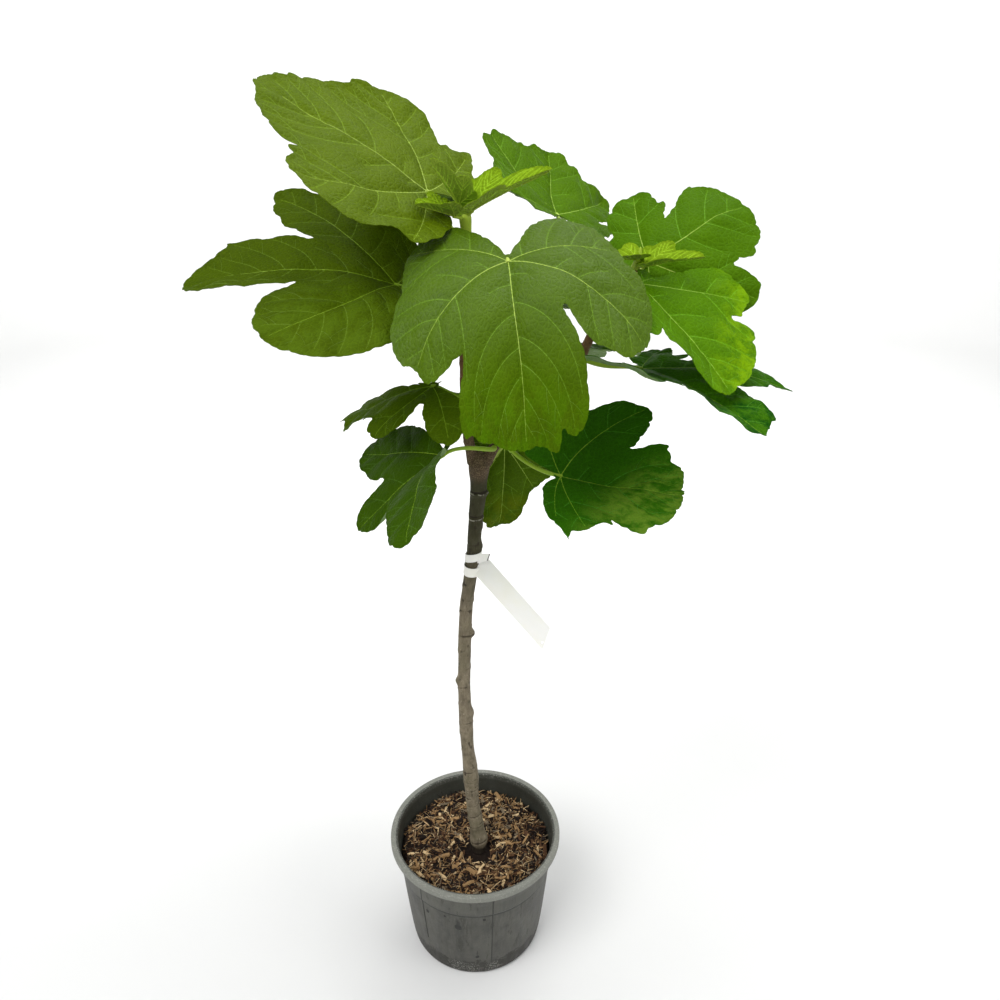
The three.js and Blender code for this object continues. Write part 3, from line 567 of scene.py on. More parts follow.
def leaf_top(name, tone, gloss=0.025, patch=None):
    """The upper face: mottled green, paler close to the veins, with a fine net of small veins.

    patch is a second colour, the flat direction it grows in, and where it starts and is full.
    gloss is one number, or one near the joint and one far along the middle vein.
    """
    paint = Paint(name, np.mean(gloss))
    mark = paint.mark
    if isinstance(gloss, tuple):
        shine = paint.ramp(paint.axis(mark, "X"), 0.03, 0.16, gloss)
        paint.feed(paint.shader.inputs["Specular IOR Level"], shine)
    tone = np.array(tone)
    vein = tone * 2.1 + 0.004
    paint.coat(paint.noise(mark, 0.05, 4), tone * (1.3, 1.22, 1.0), tone * (0.74, 0.78, 1.0))
    # A patch is the leaf's own tint on most leaves; on leaf_left and leaf_right_bright it is painted light
    # and shade
    if patch:
        second, way, start, full = patch
        grown = paint.ramp(paint.vector("DOT_PRODUCT", mark, (*way, 0), "Value"), start, full)
        where = paint.patches(mark, 0.026, 0.38, 0.6, detail=5, roughness=0.65)
        paint.coat(paint.times(grown, where), second)
    near = paint.ramp(paint.axis(mark, "Z"), 0.0003, 0.0016, (1, 0))
    paint.coat(paint.times(near, 0.35), vein)
    # The net of small veins, bent out of straight lines
    wander = paint.node("ShaderNodeTexNoise", {"Vector": mark, "Scale": 90.0, "Detail": 2.0})
    shift = paint.vector("MULTIPLY", wander.outputs["Color"], (0.004, 0.004, 0))
    edge = paint.cells(paint.vector("ADD", mark, shift), 0.0062)
    paint.coat(paint.ramp(edge, 0.01, 0.06, (0.28, 0)), vein)
    paint.dull(mark, 0.012, (0.4, 0.58), 0.25)
    # The blade puffs up between the small veins, and between still smaller ones
    paint.bump(paint.ramp(edge, 0.0, 0.34), 0.0004)
    paint.bump(paint.ramp(paint.cells(mark, 0.0024), 0.0, 0.3), 0.0001)
    paint.bump(paint.noise(paint.place, 0.0011, 2), 0.00006)
    return paint.material


def leaf_under(name, dark, light):
    """The lower face: paler and greyer, felted, with the net of veins raised."""
    paint = Paint(name, 0.25)
    edge = paint.cells(paint.mark, 0.0085)
    paint.coat(paint.noise(paint.mark, 0.04, 4), light, dark)
    paint.coat(paint.ramp(edge, 0.02, 0.1, (0.5, 0)), light)
    paint.dull(paint.mark, 0.01, (0.66, 0.85))
    paint.bump(paint.ramp(edge, 0.0, 0.22, (1, 0)), 0.0005)
    paint.bump(paint.noise(paint.place, 0.0008, 2), 0.00008)
    return paint.material


def stalk_green(name, dark, light, warm):
    """Main veins, leaf stalks and green shoots: pale green with fine lengthwise streaks."""
    paint = grained(name, 0.22, dark, light, (0.012, 3), (0.006, (0.38, 0.55)), (0.0012, 2, 0.0001),
                    (1, 1, 0.2))
    paint.coat(paint.patches(paint.place, 0.03, 0.58, 0.8, (0, 0.5), 2), warm)
    return paint.material


def leaf_vein(name, tone):
    """A side vein: the leaf's own green, only paler."""
    tone = np.array(tone)
    dark, light = tone * 2.0 + (0.012, 0.012, 0.018), tone * 2.9 + (0.024, 0.024, 0.04)
    return grained(name, 0.1, dark, light, (0.02, 3), relief=(0.0012, 2, 0.0001)).material


FLECKS = (0.26, 0.19, 0.11)
OLD_SCAR = (0.33, 0.31, 0.25)


def bark(name, groove, body, light, spots, green, bands, pale_rings=()):
    """Grey-brown bark with pale corky spots, and painted shade in its cracks and in the grooves above its
    ring scars.

    Each band is a colour, how strong it is, and the heights where it is full and where it ends.
    A fifth number breaks it into flecks of that size.  pale_rings are the heights of thin old scars.
    """
    paint = Paint(name, 0.2)
    mark, place = paint.mark, paint.place
    grain = paint.patches(paint.stretch(mark, (1, 0.35, 1)), 0.007, 0.25, 0.75, (0, 1), 6, 0.75)
    paint.coat(grain, light, body)
    paint.coat(paint.patches(place, 0.07, 0.45, 0.7, (0, 0.5)), green)
    # Corky spots and dark blotches
    speck = paint.patches(paint.stretch(mark, (1, 0.6, 1)), 0.0026, 0.66, 0.74, (0, 1), 2, 0.4)
    paint.coat(paint.times(speck, 0.75), spots)
    paint.coat(paint.patches(place, 0.012, 0.62, 0.74, (0, 0.4), 4, 0.7), groove)
    height = paint.axis(place, "Z")
    level = paint.ragged(height, place, 0.008, 0.004)
    for tint, strength, full, none, *flecks in bands:
        share = paint.ramp(level, *sorted((full, none)), (strength, 0) if full < none else (0, strength))
        for size in flecks:
            share = paint.times(share, paint.patches(place, size, 0.5, 0.6, (0, 1), 3, 0.6))
        paint.coat(share, tint)
    wavy = paint.ragged(height, place, 0.02, 0.003, 2)
    for ring in pale_rings:
        gap = paint.math("SUBTRACT", wavy, ring)
        line = paint.ramp(paint.times(gap, gap), 0.0007 ** 2, 0.0015 ** 2, (0.8, 0))
        paint.coat(paint.times(line, paint.patches(place, 0.005, 0.4, 0.55)), OLD_SCAR)
    # Painted shade in the cracks and ring grooves, which the mark's height tells
    paint.coat(paint.ramp(paint.axis(mark, "Z"), -0.00045, -0.00008, (0.8, 0)), groove)
    paint.dull(place, 0.01, (0.62, 0.9))
    paint.bump(paint.noise(paint.stretch(mark, (1, 0.3, 1)), 0.0032, 4, 0.6), 0.0007)
    paint.bump(paint.noise(place, 0.0009, 2), 0.0001)
    return paint.material


# Places on the pot's wall: the round ends of dark drips with their radii, and the middles of the
# scuffed patches at the foot.
POT_DRIPS = (((-0.0258, -0.119, 0.125), 0.0055), ((-0.0745, -0.0955, 0.136), 0.0034),
             ((-0.046, -0.1125, 0.146), 0.0026), ((0.0165, -0.121, 0.147), 0.0026),
             ((0.004, -0.114, 0.05), 0.003))
DRIP_STRETCH = 0.22
DRIP_LENGTH = 0.011
COLLAR_LINE = COLLAR_FOOT * MM
LIP_LINE = (POT_HEIGHT - RIM_DROP) * MM
# The heights of the marks that tell the pot's inside, outside and seams apart, in millimetres
INSIDE_MARK, OUTSIDE_MARK, SEAM_MARK = 2, -2, -6
SCUFFED_FOOT = ((-0.03, -0.106, 0.02), (-0.005, -0.11, 0.016), (0.03, -0.106, 0.014))


def pot_plastic():
    """Weathered grey plastic: dusty on the rim, scuffed, stained, darker at the foot, with painted shade
    under the collar's step and inside.
    """
    paint = Paint("pot_plastic", 0.38)
    place = paint.place
    height, part = paint.axis(place, "Z"), paint.axis(paint.mark, "Z")
    # Streaks and clouds, then thinner runs, pale and dark
    streak = paint.noise(paint.stretch(place, (1, 1, 0.16)), 0.012, 5, 0.6)
    paint.coat(paint.ramp(streak, 0.2, 0.8), (0.096, 0.094, 0.08), (0.026, 0.026, 0.022))
    paint.coat(paint.patches(place, 0.05, 0.42, 0.68, (0, 0.5), 4, 0.6), (0.1, 0.098, 0.083))
    runs = paint.noise(paint.stretch(place, (1, 1, 0.12)), 0.007, 6, 0.7)
    paint.coat(paint.ramp(runs, 0.5, 0.68, (0, 0.32)), (0.125, 0.122, 0.1))
    paint.coat(paint.ramp(runs, 0.34, 0.46, (0.38, 0)), (0.03, 0.028, 0.02))
    # The paler collar, with stains and drips
    paint.coat(paint.ramp(height, COLLAR_LINE - 0.0005, COLLAR_LINE + 0.001, (0, 0.3)), (0.12, 0.121, 0.101))
    stain = paint.patches(paint.stretch(place, (1, 1, 0.25)), 0.014, 0.57, 0.65, (0, 0.7), 5, 0.72)
    paint.coat(stain, (0.03, 0.029, 0.022))
    stretched = paint.stretch(place, (1, 1, DRIP_STRETCH))
    for (x, y, z), size in POT_DRIPS:
        tail = (x, y, DRIP_STRETCH * (z + DRIP_LENGTH))
        wet = paint.math("MAXIMUM", paint.near(place, (x, y, z), size, size + 0.0012),
                         paint.near(stretched, tail, 0.3 * size, 0.9 * size, 0.85))
        paint.coat(wet, (0.009, 0.009, 0.007))
    # Painted shade under the collar's step, the wall darker towards the foot, and dust on the lip
    shade = paint.times(paint.ramp(height, COLLAR_LINE - 0.0055, COLLAR_LINE - 0.0015),
                        paint.ramp(height, COLLAR_LINE - 0.0002, COLLAR_LINE + 0.001, (1, 0)))
    paint.coat(paint.times(shade, 0.8), (0.02, 0.021, 0.018))
    # The wall darker towards the foot, with a ragged edge
    foot = paint.ragged(height, place, 0.014, 0.022, 6, 0.7)
    paint.coat(paint.ramp(foot, 0.031, 0.039, (0.85, 0)), (0.021, 0.019, 0.014))
    rim = paint.ragged(height, place, 0.004, 0.0015, 4, 0.7)
    paint.coat(paint.ramp(rim, LIP_LINE - 0.0015, LIP_LINE + 0.0015, (0, 0.75)), (0.24, 0.245, 0.212))
    # Painted shade: the pot's inside faces darkened
    inside = paint.ramp(part, 0.0, 0.001, (0, 0.82))
    paint.coat(inside, (0.03, 0.032, 0.024))
    seam = paint.ramp(part, -0.005, -0.003, (0.75, 0))
    paint.coat(seam, (0.018, 0.018, 0.015))
    # Scuffs, most of them on the rim and in places at the foot
    worn = paint.ramp(height, LIP_LINE - 0.001, LIP_LINE + 0.007, (0.04, 0.55))
    for middle in SCUFFED_FOOT:
        worn = paint.math("MAXIMUM", worn, paint.near(place, middle, 0.008, 0.021, 0.95))
    scuff = paint.patches(place, 0.0026, 0.53, 0.62, (0, 0.85), 4, 0.75)
    paint.coat(paint.times(scuff, worn), (0.4, 0.4, 0.35))
    paint.feed(paint.shader.inputs["Roughness"], paint.ramp(streak, 0.2, 0.8, (0.42, 0.68)))
    paint.bump(paint.noise(place, 0.018), 0.0007)
    paint.bump(paint.noise(place, 0.0014, 3, 0.6), 0.00014)
    return paint.material


def label_white():
    """Thin white plastic film, a little yellowed and creased."""
    paint = Paint("label_white", 0.45)
    paint.coat(paint.patches(paint.place, 0.045, 0.35, 0.7), (0.96, 0.94, 0.86), (0.97, 0.96, 0.93))
    paint.dull(paint.place, 0.008, (0.32, 0.5))
    paint.bump(paint.noise(paint.place, 0.02, 2), 0.0008)
    return paint.material


HUMUS = grained("humus", 0.2, (0.002, 0.0012, 0.0008), (0.02, 0.011, 0.006), (0.006, 5, 0.7),
                (0.01, (0.8, 0.98)), (0.0025, 4, 0.0016)).material
# The dark cut end of the label's strap
LABEL_CUT = grained("label_cut", 0.3, (0.06, 0.06, 0.055), (0.22, 0.22, 0.2), (0.003, 3),
                    (0.002, (0.5, 0.8))).material
CHIP_WOODS = [
    grained("chip_" + kind, 0.25, dark, light, (0.0035, 4, 0.65), (0.006, (0.65, 0.92)),
            (0.0012, 3, 0.0003), (1, 0.3, 1)).material
    for kind, dark, light in (("dark", (0.004, 0.002, 0.0015), (0.02, 0.01, 0.006)),
                              ("brown", (0.035, 0.016, 0.007), (0.13, 0.062, 0.026)),
                              ("tan", (0.2, 0.115, 0.045), (0.43, 0.265, 0.12)),
                              ("pale", (0.5, 0.34, 0.17), (0.8, 0.6, 0.34)),
                              ("grey", (0.1, 0.076, 0.045), (0.26, 0.2, 0.13)))]
UNDERS = {kind: leaf_under("leaf_" + kind + "_under", *greens) for kind, *greens in (
    ("deep", (0.1, 0.17, 0.05), (0.17, 0.26, 0.09)),
    ("mid", (0.12, 0.2, 0.055), (0.2, 0.3, 0.1)),
    ("bright", (0.13, 0.24, 0.055), (0.22, 0.35, 0.1)),
    ("young", (0.17, 0.27, 0.012), (0.25, 0.35, 0.03)))}
VEINS = {kind: stalk_green("vein_" + kind, *greens) for kind, *greens in (
    ("deep", (0.18, 0.31, 0.012), (0.28, 0.42, 0.03), (0.34, 0.38, 0.03)),
    ("mid", (0.3, 0.43, 0.055), (0.42, 0.53, 0.1), (0.46, 0.5, 0.12)),
    ("bright", (0.28, 0.45, 0.05), (0.4, 0.55, 0.09), (0.44, 0.5, 0.12)),
    ("young", (0.24, 0.36, 0.02), (0.36, 0.47, 0.04), (0.3, 0.32, 0.04)))}
TRUNK_BARK = bark("trunk_bark", (0.022, 0.016, 0.01), (0.105, 0.087, 0.057), (0.27, 0.225, 0.155),
                  (0.36, 0.31, 0.22), (0.1, 0.096, 0.05),
                  # The first band is painted shade: the bark darker olive up towards the crown, which shades
                  # it
                  [((0.024, 0.026, 0.007), 0.85, 0.79, 0.62), ((0.085, 0.055, 0.032), 0.85, 0.87, 0.85),
                   (FLECKS, 0.6, 0.872, 0.856, 0.0017), ((0.01, 0.006, 0.0035), 0.93, 0.198, 0.205)],
                  pale_rings=(0.8, 0.838))
YOUNG_BARK = bark("young_bark", (0.02, 0.011, 0.006), (0.11, 0.047, 0.018), (0.19, 0.095, 0.042),
                  (0.36, 0.28, 0.18), (0.09, 0.085, 0.03),
                  [((0.07, 0.05, 0.03), 0.85, 0.905, 0.95), (FLECKS, 0.6, 0.9, 0.95, 0.0017)])


# ---------------------------------------------------------------------------------------------
# Limbs


def limb_at(stations, parts):
    """Centres and radii at parts of a limb's length, from 0 at its foot to 1 at its tip.

    The centre line is a centripetal spline through the stations.
    """
    stations = np.asarray(stations, float)
    ends = np.vstack([2 * stations[0] - stations[1], stations, 2 * stations[-1] - stations[-2]])
    place = np.asarray(parts, float) * (len(stations) - 1)
    low = np.minimum(place.astype(int), len(stations) - 2)
    part = (place - low)[:, None]
    p0, p1, p2, p3 = (ends[low + shift, :3] for shift in range(4))
    t0, t1, t2 = (np.sqrt(np.linalg.norm(b - a, axis=1, keepdims=True))
                  for a, b in ((p0, p1), (p1, p2), (p2, p3)))
    out = ((p1 - p0) / t0 - (p2 - p0) / (t0 + t1) + (p2 - p1) / t1) * t1
    back = ((p2 - p1) / t1 - (p3 - p1) / (t1 + t2) + (p3 - p2) / t2) * t1
    centres = (p1 + out * part + (3 * (p2 - p1) - 2 * out - back) * part ** 2
               + (2 * (p1 - p2) + out + back) * part ** 3)
    blend = (part * part * (3 - 2 * part))[:, 0]
    radii = stations[low, 3] * (1 - blend) + stations[low + 1, 3] * blend
    return centres, radii


def perch(stations, height, side):
    """The surface of a limb at a height, on the side that faces a compass angle."""
    parts = np.linspace(0, 1, 2001)
    part = np.interp(height, limb_at(stations, parts)[0][:, 2], parts)
    (before, centre, after), radii = limb_at(stations, np.clip([part - 1e-4, part, part + 1e-4], 0, 1))
    tangent = unit(after - before)
    out = unit(facing(side) - tangent * (facing(side) @ tangent))
    return centre + out * (radii[1] + STALK_GAP), out


RING_TILT = 1.5
RING_WIDTH = 2.4
CUT_ABOVE_RING = 4.0
CUT_WIDTH = 1.1
CUT_SHARE = 0.6                # a cut's depth, as a share of its ring's height


def bark_relief(turn, along, radius, style):
    """How far the bark stands out, with its rings, buds, knots and ripples, and how deep it is cut."""
    cuts = np.zeros(np.broadcast(turn, along).shape)
    relief = np.zeros(cuts.shape)
    for height, side, ridge in style["rings"]:
        start = radians(side)
        above = along - height - RING_TILT * np.sin(turn - start)
        share = np.clip(0.45 + 0.7 * np.cos(turn - start) + 0.35 * np.sin(3 * turn + height), 0.1, 1)
        relief += ridge * share * bell(above, RING_WIDTH)
        cuts -= CUT_SHARE * ridge * share * bell(above - CUT_ABOVE_RING, CUT_WIDTH)
    for height, side, bulge, width in style["knots"]:
        aside = off(turn, side) * radius
        relief += bulge * np.exp(-(aside ** 2 + (along - height) ** 2) / (2 * width ** 2))
    around = [np.broadcast_to(way(turn) * radius, cuts.shape).ravel() for way in (np.cos, np.sin)]
    up = np.broadcast_to(along, cuts.shape).ravel()
    relief += style["ripple"] * noise(np.c_[(*around, up * 0.6)], 11, 3).reshape(cuts.shape)
    crack = noise(np.c_[(*around, up * 0.3)], 2.6, 5).reshape(cuts.shape)
    cuts += style["crack"] * np.minimum(crack + 0.4, 0)
    return relief + cuts, cuts


GOLDEN_ANGLE = 137.5           # degrees round the limb from one leaf scar to the next
BUD_ABOVE_SCAR = 4
BUD_SIZE = 2.8


def scars(first, last, pitch, ridge, seed):
    """Ring scars left by fallen leaves, a little unevenly spaced, each with a bud above it."""
    random = np.random.default_rng(seed)
    rings, knots = [], []
    height, side = first, random.uniform(0, 360)
    while height < last:
        rings.append((height, side, ridge * random.uniform(0.6, 1.2)))
        knots.append((height + BUD_ABOVE_SCAR, side, ridge * random.uniform(1.0, 2.4), BUD_SIZE))
        height += pitch * random.uniform(0.7, 1.35)
        side += GOLDEN_ANGLE + random.uniform(-25, 25)
    return rings, knots


def add_limb(model, stations, style):
    """A limb with its bark, from a flat cut at its foot to a flat cut at its top."""
    fine = np.linspace(0, 1, 4001)
    length = run_length(limb_at(stations, fine)[0])
    count = max(8, int(length[-1] / style["step"]))
    parts = np.interp(np.linspace(0, length[-1], count), length, fine)
    centres, radii = limb_at(stations, parts)
    tangents = unit(np.gradient(centres, axis=0))
    tangents[0] = tangents[-1] = UP
    across = carried(tangents, np.array([1.0, 0.0, 0.0]))
    turn = circle(style["sides"])[None, :]
    along = centres[:, 2:3]
    relief, cuts = bark_relief(turn, along, radii[:, None], style)
    from_end = np.minimum(np.arange(count), np.arange(count)[::-1])[:, None]
    relief = relief * np.clip(from_end / 2, 0, 1)
    for height, change, width in style.get("waists", ()):
        relief = relief + change * bell(along - height, width)
    for height, aside, width in style.get("leans", ()):
        relief = relief + aside * np.cos(turn) * bell(along - height, width)
    size = (radii[:, None] + relief)[:, :, None]
    marks = np.stack(np.broadcast_arrays(turn * 10, along, cuts), axis=-1).reshape(-1, 3)
    points, faces = swept(centres, across, np.cross(tangents, across), size, size, style["sides"])
    model.add(points, faces, 0, np.r_[marks, np.zeros((2, 3))])


def limb_piece(name, node, stations, style, material):
    model = Model()
    add_limb(model, stations, style)
    model.piece(name, [node], [material], sharp=50)


# ---------------------------------------------------------------------------------------------
# Leaves

ANGLES = np.linspace(-pi, pi, 2881)
VEIN_PACE = 2.5
VEIN_END = 0.965               # how near the margin veins end, as a share of the reach
SIDE_VEINS_END = 0.9           # where the last side vein leaves, as a share of the lobe
SIDE_VEIN_LENGTH = 0.62        # at most, as a share of the lobe
INNER_DELAY = 0.36             # how much later they start on a side lobe's inner side
FORK_PLACES = (0.55, 0.78)
FORK_ANGLE = radians(48)
FORK_TURN = radians(0.8)


def reach(angle, shape):
    """How far a blade reaches from its joint at angles from the middle vein."""
    lobes, web, blunt = shape["lobes"], shape["web"], shape["blunt"]
    reaches = [np.full(angle.shape, float(NOTCH))]
    for gap, ((start, longer, _), (end, other, _)) in enumerate(zip(lobes, lobes[1:])):
        part = (radians(start) - angle) / radians(start - end)
        share = web[0] if gap in (0, len(lobes) - 2) else web[1]
        whole = share * (longer + (other - longer) * part)
        reaches.append(np.where((part >= 0) & (part <= 1), whole, 0))
    for axis, length, half in [*lobes, *shape.get("bulges", ())]:
        turn = off(angle, axis)
        end = blunt * length
        middle = length - end
        a = (np.cos(turn) / end) ** 2 + (np.sin(turn) / half) ** 2
        b = -2 * np.cos(turn) * middle / end ** 2
        inside = b * b - 4 * a * ((middle / end) ** 2 - 1)
        hit = (-b + np.sqrt(np.maximum(inside, 0))) / (2 * a)
        reaches.append(np.where((inside > 0) & (np.cos(turn) > 0), hit, 0))
    reaches = np.array(reaches)
    furthest = reaches.max(axis=0)
    far = furthest * ((reaches / furthest) ** CORNERS).sum(axis=0) ** (1 / CORNERS)
    for axis, change, width in shape.get("trims", ()):
        far = far + change * bell(off(angle, axis), radians(width))
    return np.maximum(far, NOTCH)


def leaf_axes(shape):
    heading, pitch, roll = map(radians, shape["turn"])
    forward = np.array([cos(heading) * cos(pitch), sin(heading) * cos(pitch), sin(pitch)])
    level = np.array([-sin(heading), cos(heading), 0])
    above = np.cross(forward, level)
    left = level * cos(roll) + above * sin(roll)
    up = above * cos(roll) - level * sin(roll)
    return forward, left, up


def bend(distance, slope, rate):
    """Distance run along and down by an arc that starts at a slope and turns by rate each mm."""
    rate = np.where(np.abs(rate) < 1e-6, 1e-6, rate)
    end = slope + rate * distance
    return (np.sin(end) - np.sin(slope)) / rate, (np.cos(slope) - np.cos(end)) / rate


def sheet(flat, shape):
    """The places in space of points (ahead, left) of the flat blade."""
    distance = np.hypot(flat[:, 0], flat[:, 1])
    angle = np.arctan2(flat[:, 1], flat[:, 0])
    swept_back = angle - np.sign(angle) * radians(shape["sweep"]) * distance / 100 * np.sin(np.abs(angle))
    ahead, aside = distance * np.cos(swept_back), distance * np.sin(swept_back)
    run, drop = bend(np.abs(ahead), 0, radians(shape["droop"]) / 100)
    arch = np.where(aside > 0, *shape["arch"])
    spread, fall = bend(np.abs(aside), radians(shape["fold"]), np.radians(arch) / 100)
    forward, left, up = leaf_axes(shape)
    return (shape["joint"] + np.outer(run * np.sign(ahead), forward)
            + np.outer(spread * np.sign(aside), left) - np.outer(drop + fall, up))


def sheet_normals(flat, shape):
    """The blade's upward normals at flat points."""
    ahead, aside = (sheet(flat + nudge, shape) - sheet(flat - nudge, shape) for nudge in np.eye(2))
    return unit(np.cross(ahead, aside))


def side_vein(start, heading, turn, limits, rim, longest):
    """A vein that grows with a turning heading, until it nears the margin or leaves its lobe."""
    points = [np.array(start)]
    while VEIN_PACE * len(points) < longest:
        point = points[-1] + VEIN_PACE * np.array([cos(heading), sin(heading)])
        heading += turn * VEIN_PACE
        angle = np.arctan2(point[1], point[0])
        within = limits[1] < degrees(angle) < limits[0]
        if not within or np.hypot(*point) > VEIN_END * np.interp(angle, ANGLES, rim) - 1:
            break
        points.append(point)
    return np.array(points)


def leaf_veins(shape, style, seed):
    """Flat paths of the veins with half widths, as a list of (path, widths, rank).

    Rank 0 is a lobe's main vein, rank 1 the veins that leave it in pairs and bend towards the
    lobe's tip, and rank 2 the forks of those.
    """
    random = np.random.default_rng(seed)
    rim = reach(ANGLES, shape)
    lobes = shape["lobes"]
    size = max(length for _, length, _ in lobes)
    veins = []
    for index, (axis, length, _) in enumerate(lobes):
        length = min(length, np.interp(radians(axis), ANGLES, rim))
        limits = ((axis + lobes[index - 1][0]) / 2 if index else 178,
                  (axis + lobes[index + 1][0]) / 2 if index + 1 < len(lobes) else -178)
        direction = radians(axis)
        ahead = np.arange(0, VEIN_END * length, VEIN_PACE)
        wander = 0.9 * np.sin(ahead / 31 + random.uniform(0, 6)) * np.clip(ahead / 40, 0, 1)
        path = polar(ahead, direction) + np.outer(wander, [-sin(direction), cos(direction)])
        base = style["main"] * (0.45 + 0.55 * length / size)
        part = ahead / ahead[-1]
        veins.append((path, base * (1 - 0.82 * part ** 0.8), 0))
        pitch = style["pitch"] * (0.5 + 0.5 * length / size)
        for side in (1, -1):
            place = pitch * random.uniform(0.55, 0.8) + (0 if side > 0 else 0.3 * pitch)
            if abs(axis) > 30 and side * axis < 0:
                place += INNER_DELAY * length
            while place < SIDE_VEINS_END * length:
                portion = place / length
                leaving = radians(style["leaving"] - 38 * portion + random.uniform(-4, 4))
                bending = -side * radians(13) * (1 - 0.8 * portion) / style["pitch"]
                start = polar(place, direction)
                grown = side_vein(start, direction + side * leaving, bending, limits, rim,
                                  SIDE_VEIN_LENGTH * length)
                place += pitch * random.uniform(0.85, 1.2)
                if len(grown) < 5:
                    continue
                along = np.linspace(0, 1, len(grown))
                wide = style["side"] * (1.05 - 0.5 * portion)
                veins.append((grown, wide * (1 - 0.7 * along), 1))
                for share in FORK_PLACES:
                    lean = side if random.random() < 0.6 else -side
                    knot = int(share * len(grown))
                    if len(grown) - knot < 4:
                        continue
                    run = grown[knot] - grown[knot - 1]
                    heading = np.arctan2(run[1], run[0]) + lean * FORK_ANGLE
                    fork = side_vein(grown[knot], heading, -lean * FORK_TURN, limits, rim, 0.9 * pitch)
                    if len(fork) > 3:
                        taper = np.linspace(1, 0.45, len(fork))
                        veins.append((fork, style["fork"] * taper, 2))
    return veins


def tree_of(points):
    """A search tree for the point nearest to a flat place."""
    tree = KDTree(len(points))
    for index, (x, y) in enumerate(points):
        tree.insert((x, y, 0), index)
    tree.balance()
    return tree


def distances(tree, flat):
    return np.array([tree.find((x, y, 0))[2] for x, y in flat])


def thickened(path, gap):
    """A flat path with points about gap apart."""
    length = run_length(path)
    return at(np.linspace(0, length[-1], max(2, int(length[-1] / gap) + 1)), length, path)


def margin(shape, style, seed):
    """The flat outline: the reach, cut back by rounded teeth and by wider scallops."""
    angle = np.linspace(-pi, pi, 6000, endpoint=False)
    line = polar(reach(angle, shape), angle)
    length = run_length(line)
    count = int(length[-1] / (0.75 * style["spacing"]))
    places = np.linspace(0, length[-1], count, endpoint=False)
    line = at(places, length, line)
    along = np.roll(line, -1, axis=0) - np.roll(line, 1, axis=0)
    inward = unit(np.stack([-along[:, 1], along[:, 0]], axis=1))
    spot = np.c_[places, np.full(count, 7.0 * seed)]
    tooth_pitch, scallop_pitch = style["tooth_pitch"], style["scallop_pitch"]
    warp = 0.3 * tooth_pitch * noise(spot, 3 * tooth_pitch, seed)
    tooth = 1 - np.abs(np.sin(pi * (places + warp) / tooth_pitch))
    drift = 0.35 * scallop_pitch * noise(spot, 1.6 * scallop_pitch, seed + 1)
    scallop = 1 - np.abs(np.sin(pi * (places + drift) / scallop_pitch))
    uneven = 0.75 + 0.45 * noise(spot, 2 * tooth_pitch, seed + 2)
    cut = style["tooth"] * uneven * tooth ** 1.3 + style["scallop"] * scallop ** 3
    calm = np.clip((np.hypot(*line.T) - 2.5 * NOTCH) / (3 * NOTCH), 0, 1)
    return line + inward * (cut * calm)[:, None]


LOOSE = 110                    # how far from the joint a blade ripples freely


class Blade:
    """One leaf's flat plan and the height of its relief over the bent sheet."""

    def __init__(self, shape, style, seed):
        self.shape, self.style, self.seed = shape, style, seed
        self.veins = leaf_veins(shape, style, seed)
        self.line = margin(shape, style, seed)
        self.mains, self.ribs = (
            tree_of(np.concatenate([thickened(path, 1.0) for path, _, rank in self.veins if rank <= last]))
            for last in (0, 1))
        self.edge = tree_of(self.line)

    def height(self, flat):
        """Relief at flat points, and how far each is from the nearest vein."""
        spacing, quilt_width, wave = (self.style[key] for key in ("spacing", "quilt_width", "wave"))
        rib, main = distances(self.ribs, flat), distances(self.mains, flat)
        relief = self.style["quilt"] * (1 - np.exp(-rib / quilt_width))
        relief -= self.style["groove"] * bell(main, 1.3 * quilt_width)
        loose = np.clip(np.hypot(*flat.T) / LOOSE, 0, 1)
        relief += wave * loose * noise(flat, 16 * spacing, self.seed + 11)
        relief += 0.13 * wave * loose * noise(flat, 2.3 * spacing, self.seed + 13)
        ruffle = np.exp(-distances(self.edge, flat) / (4 * spacing))
        relief += 0.8 * wave * ruffle * loose * noise(flat, 9 * spacing, self.seed + 12)
        return relief, rib

    def plan(self):
        """Points and triangles of the flat blade, with points along the veins and the margin."""
        spacing = self.style["spacing"]
        line = self.line
        inner = [thickened(path, spacing)[1:] for path, _, rank in self.veins if rank < 2]
        inner = np.concatenate(inner)
        low, high = line.min(axis=0), line.max(axis=0)
        x, y = np.meshgrid(np.arange(low[0], high[0], spacing),
                           np.arange(low[1], high[1], spacing * 0.866))
        x = x + 0.5 * spacing * (np.arange(len(x)) % 2)[:, None]
        grid = np.c_[x.ravel(), y.ravel()]
        rim = reach(ANGLES, self.shape)
        inside = np.hypot(*grid.T) < np.interp(np.arctan2(grid[:, 1], grid[:, 0]), ANGLES, rim)
        grid = grid[inside]
        grid = grid[distances(tree_of(inner), grid) > 0.6 * spacing]
        chosen = np.concatenate([inner, grid])
        chosen = chosen[distances(self.edge, chosen) > 0.55 * spacing]
        return flat_mesh([*line, *chosen], len(line))


def add_blade(model, blade):
    """Both faces of a thin blade and the edge between them.  Shade 0 is the top, 1 the underside."""
    flat, faces = blade.plan()
    relief, rib = blade.height(flat)
    normals = sheet_normals(flat, blade.shape)
    middle = sheet(flat, blade.shape) + normals * relief[:, None]
    half = blade.style["thickness"] / 2
    marks = np.c_[flat, rib]
    parts = both_sides(faces, len(flat))
    shades = np.repeat([0, 1, 0], [len(part) for part in parts])
    model.add(np.r_[middle + normals * half, middle - normals * half], np.concatenate(parts), shades,
              np.r_[marks, marks])


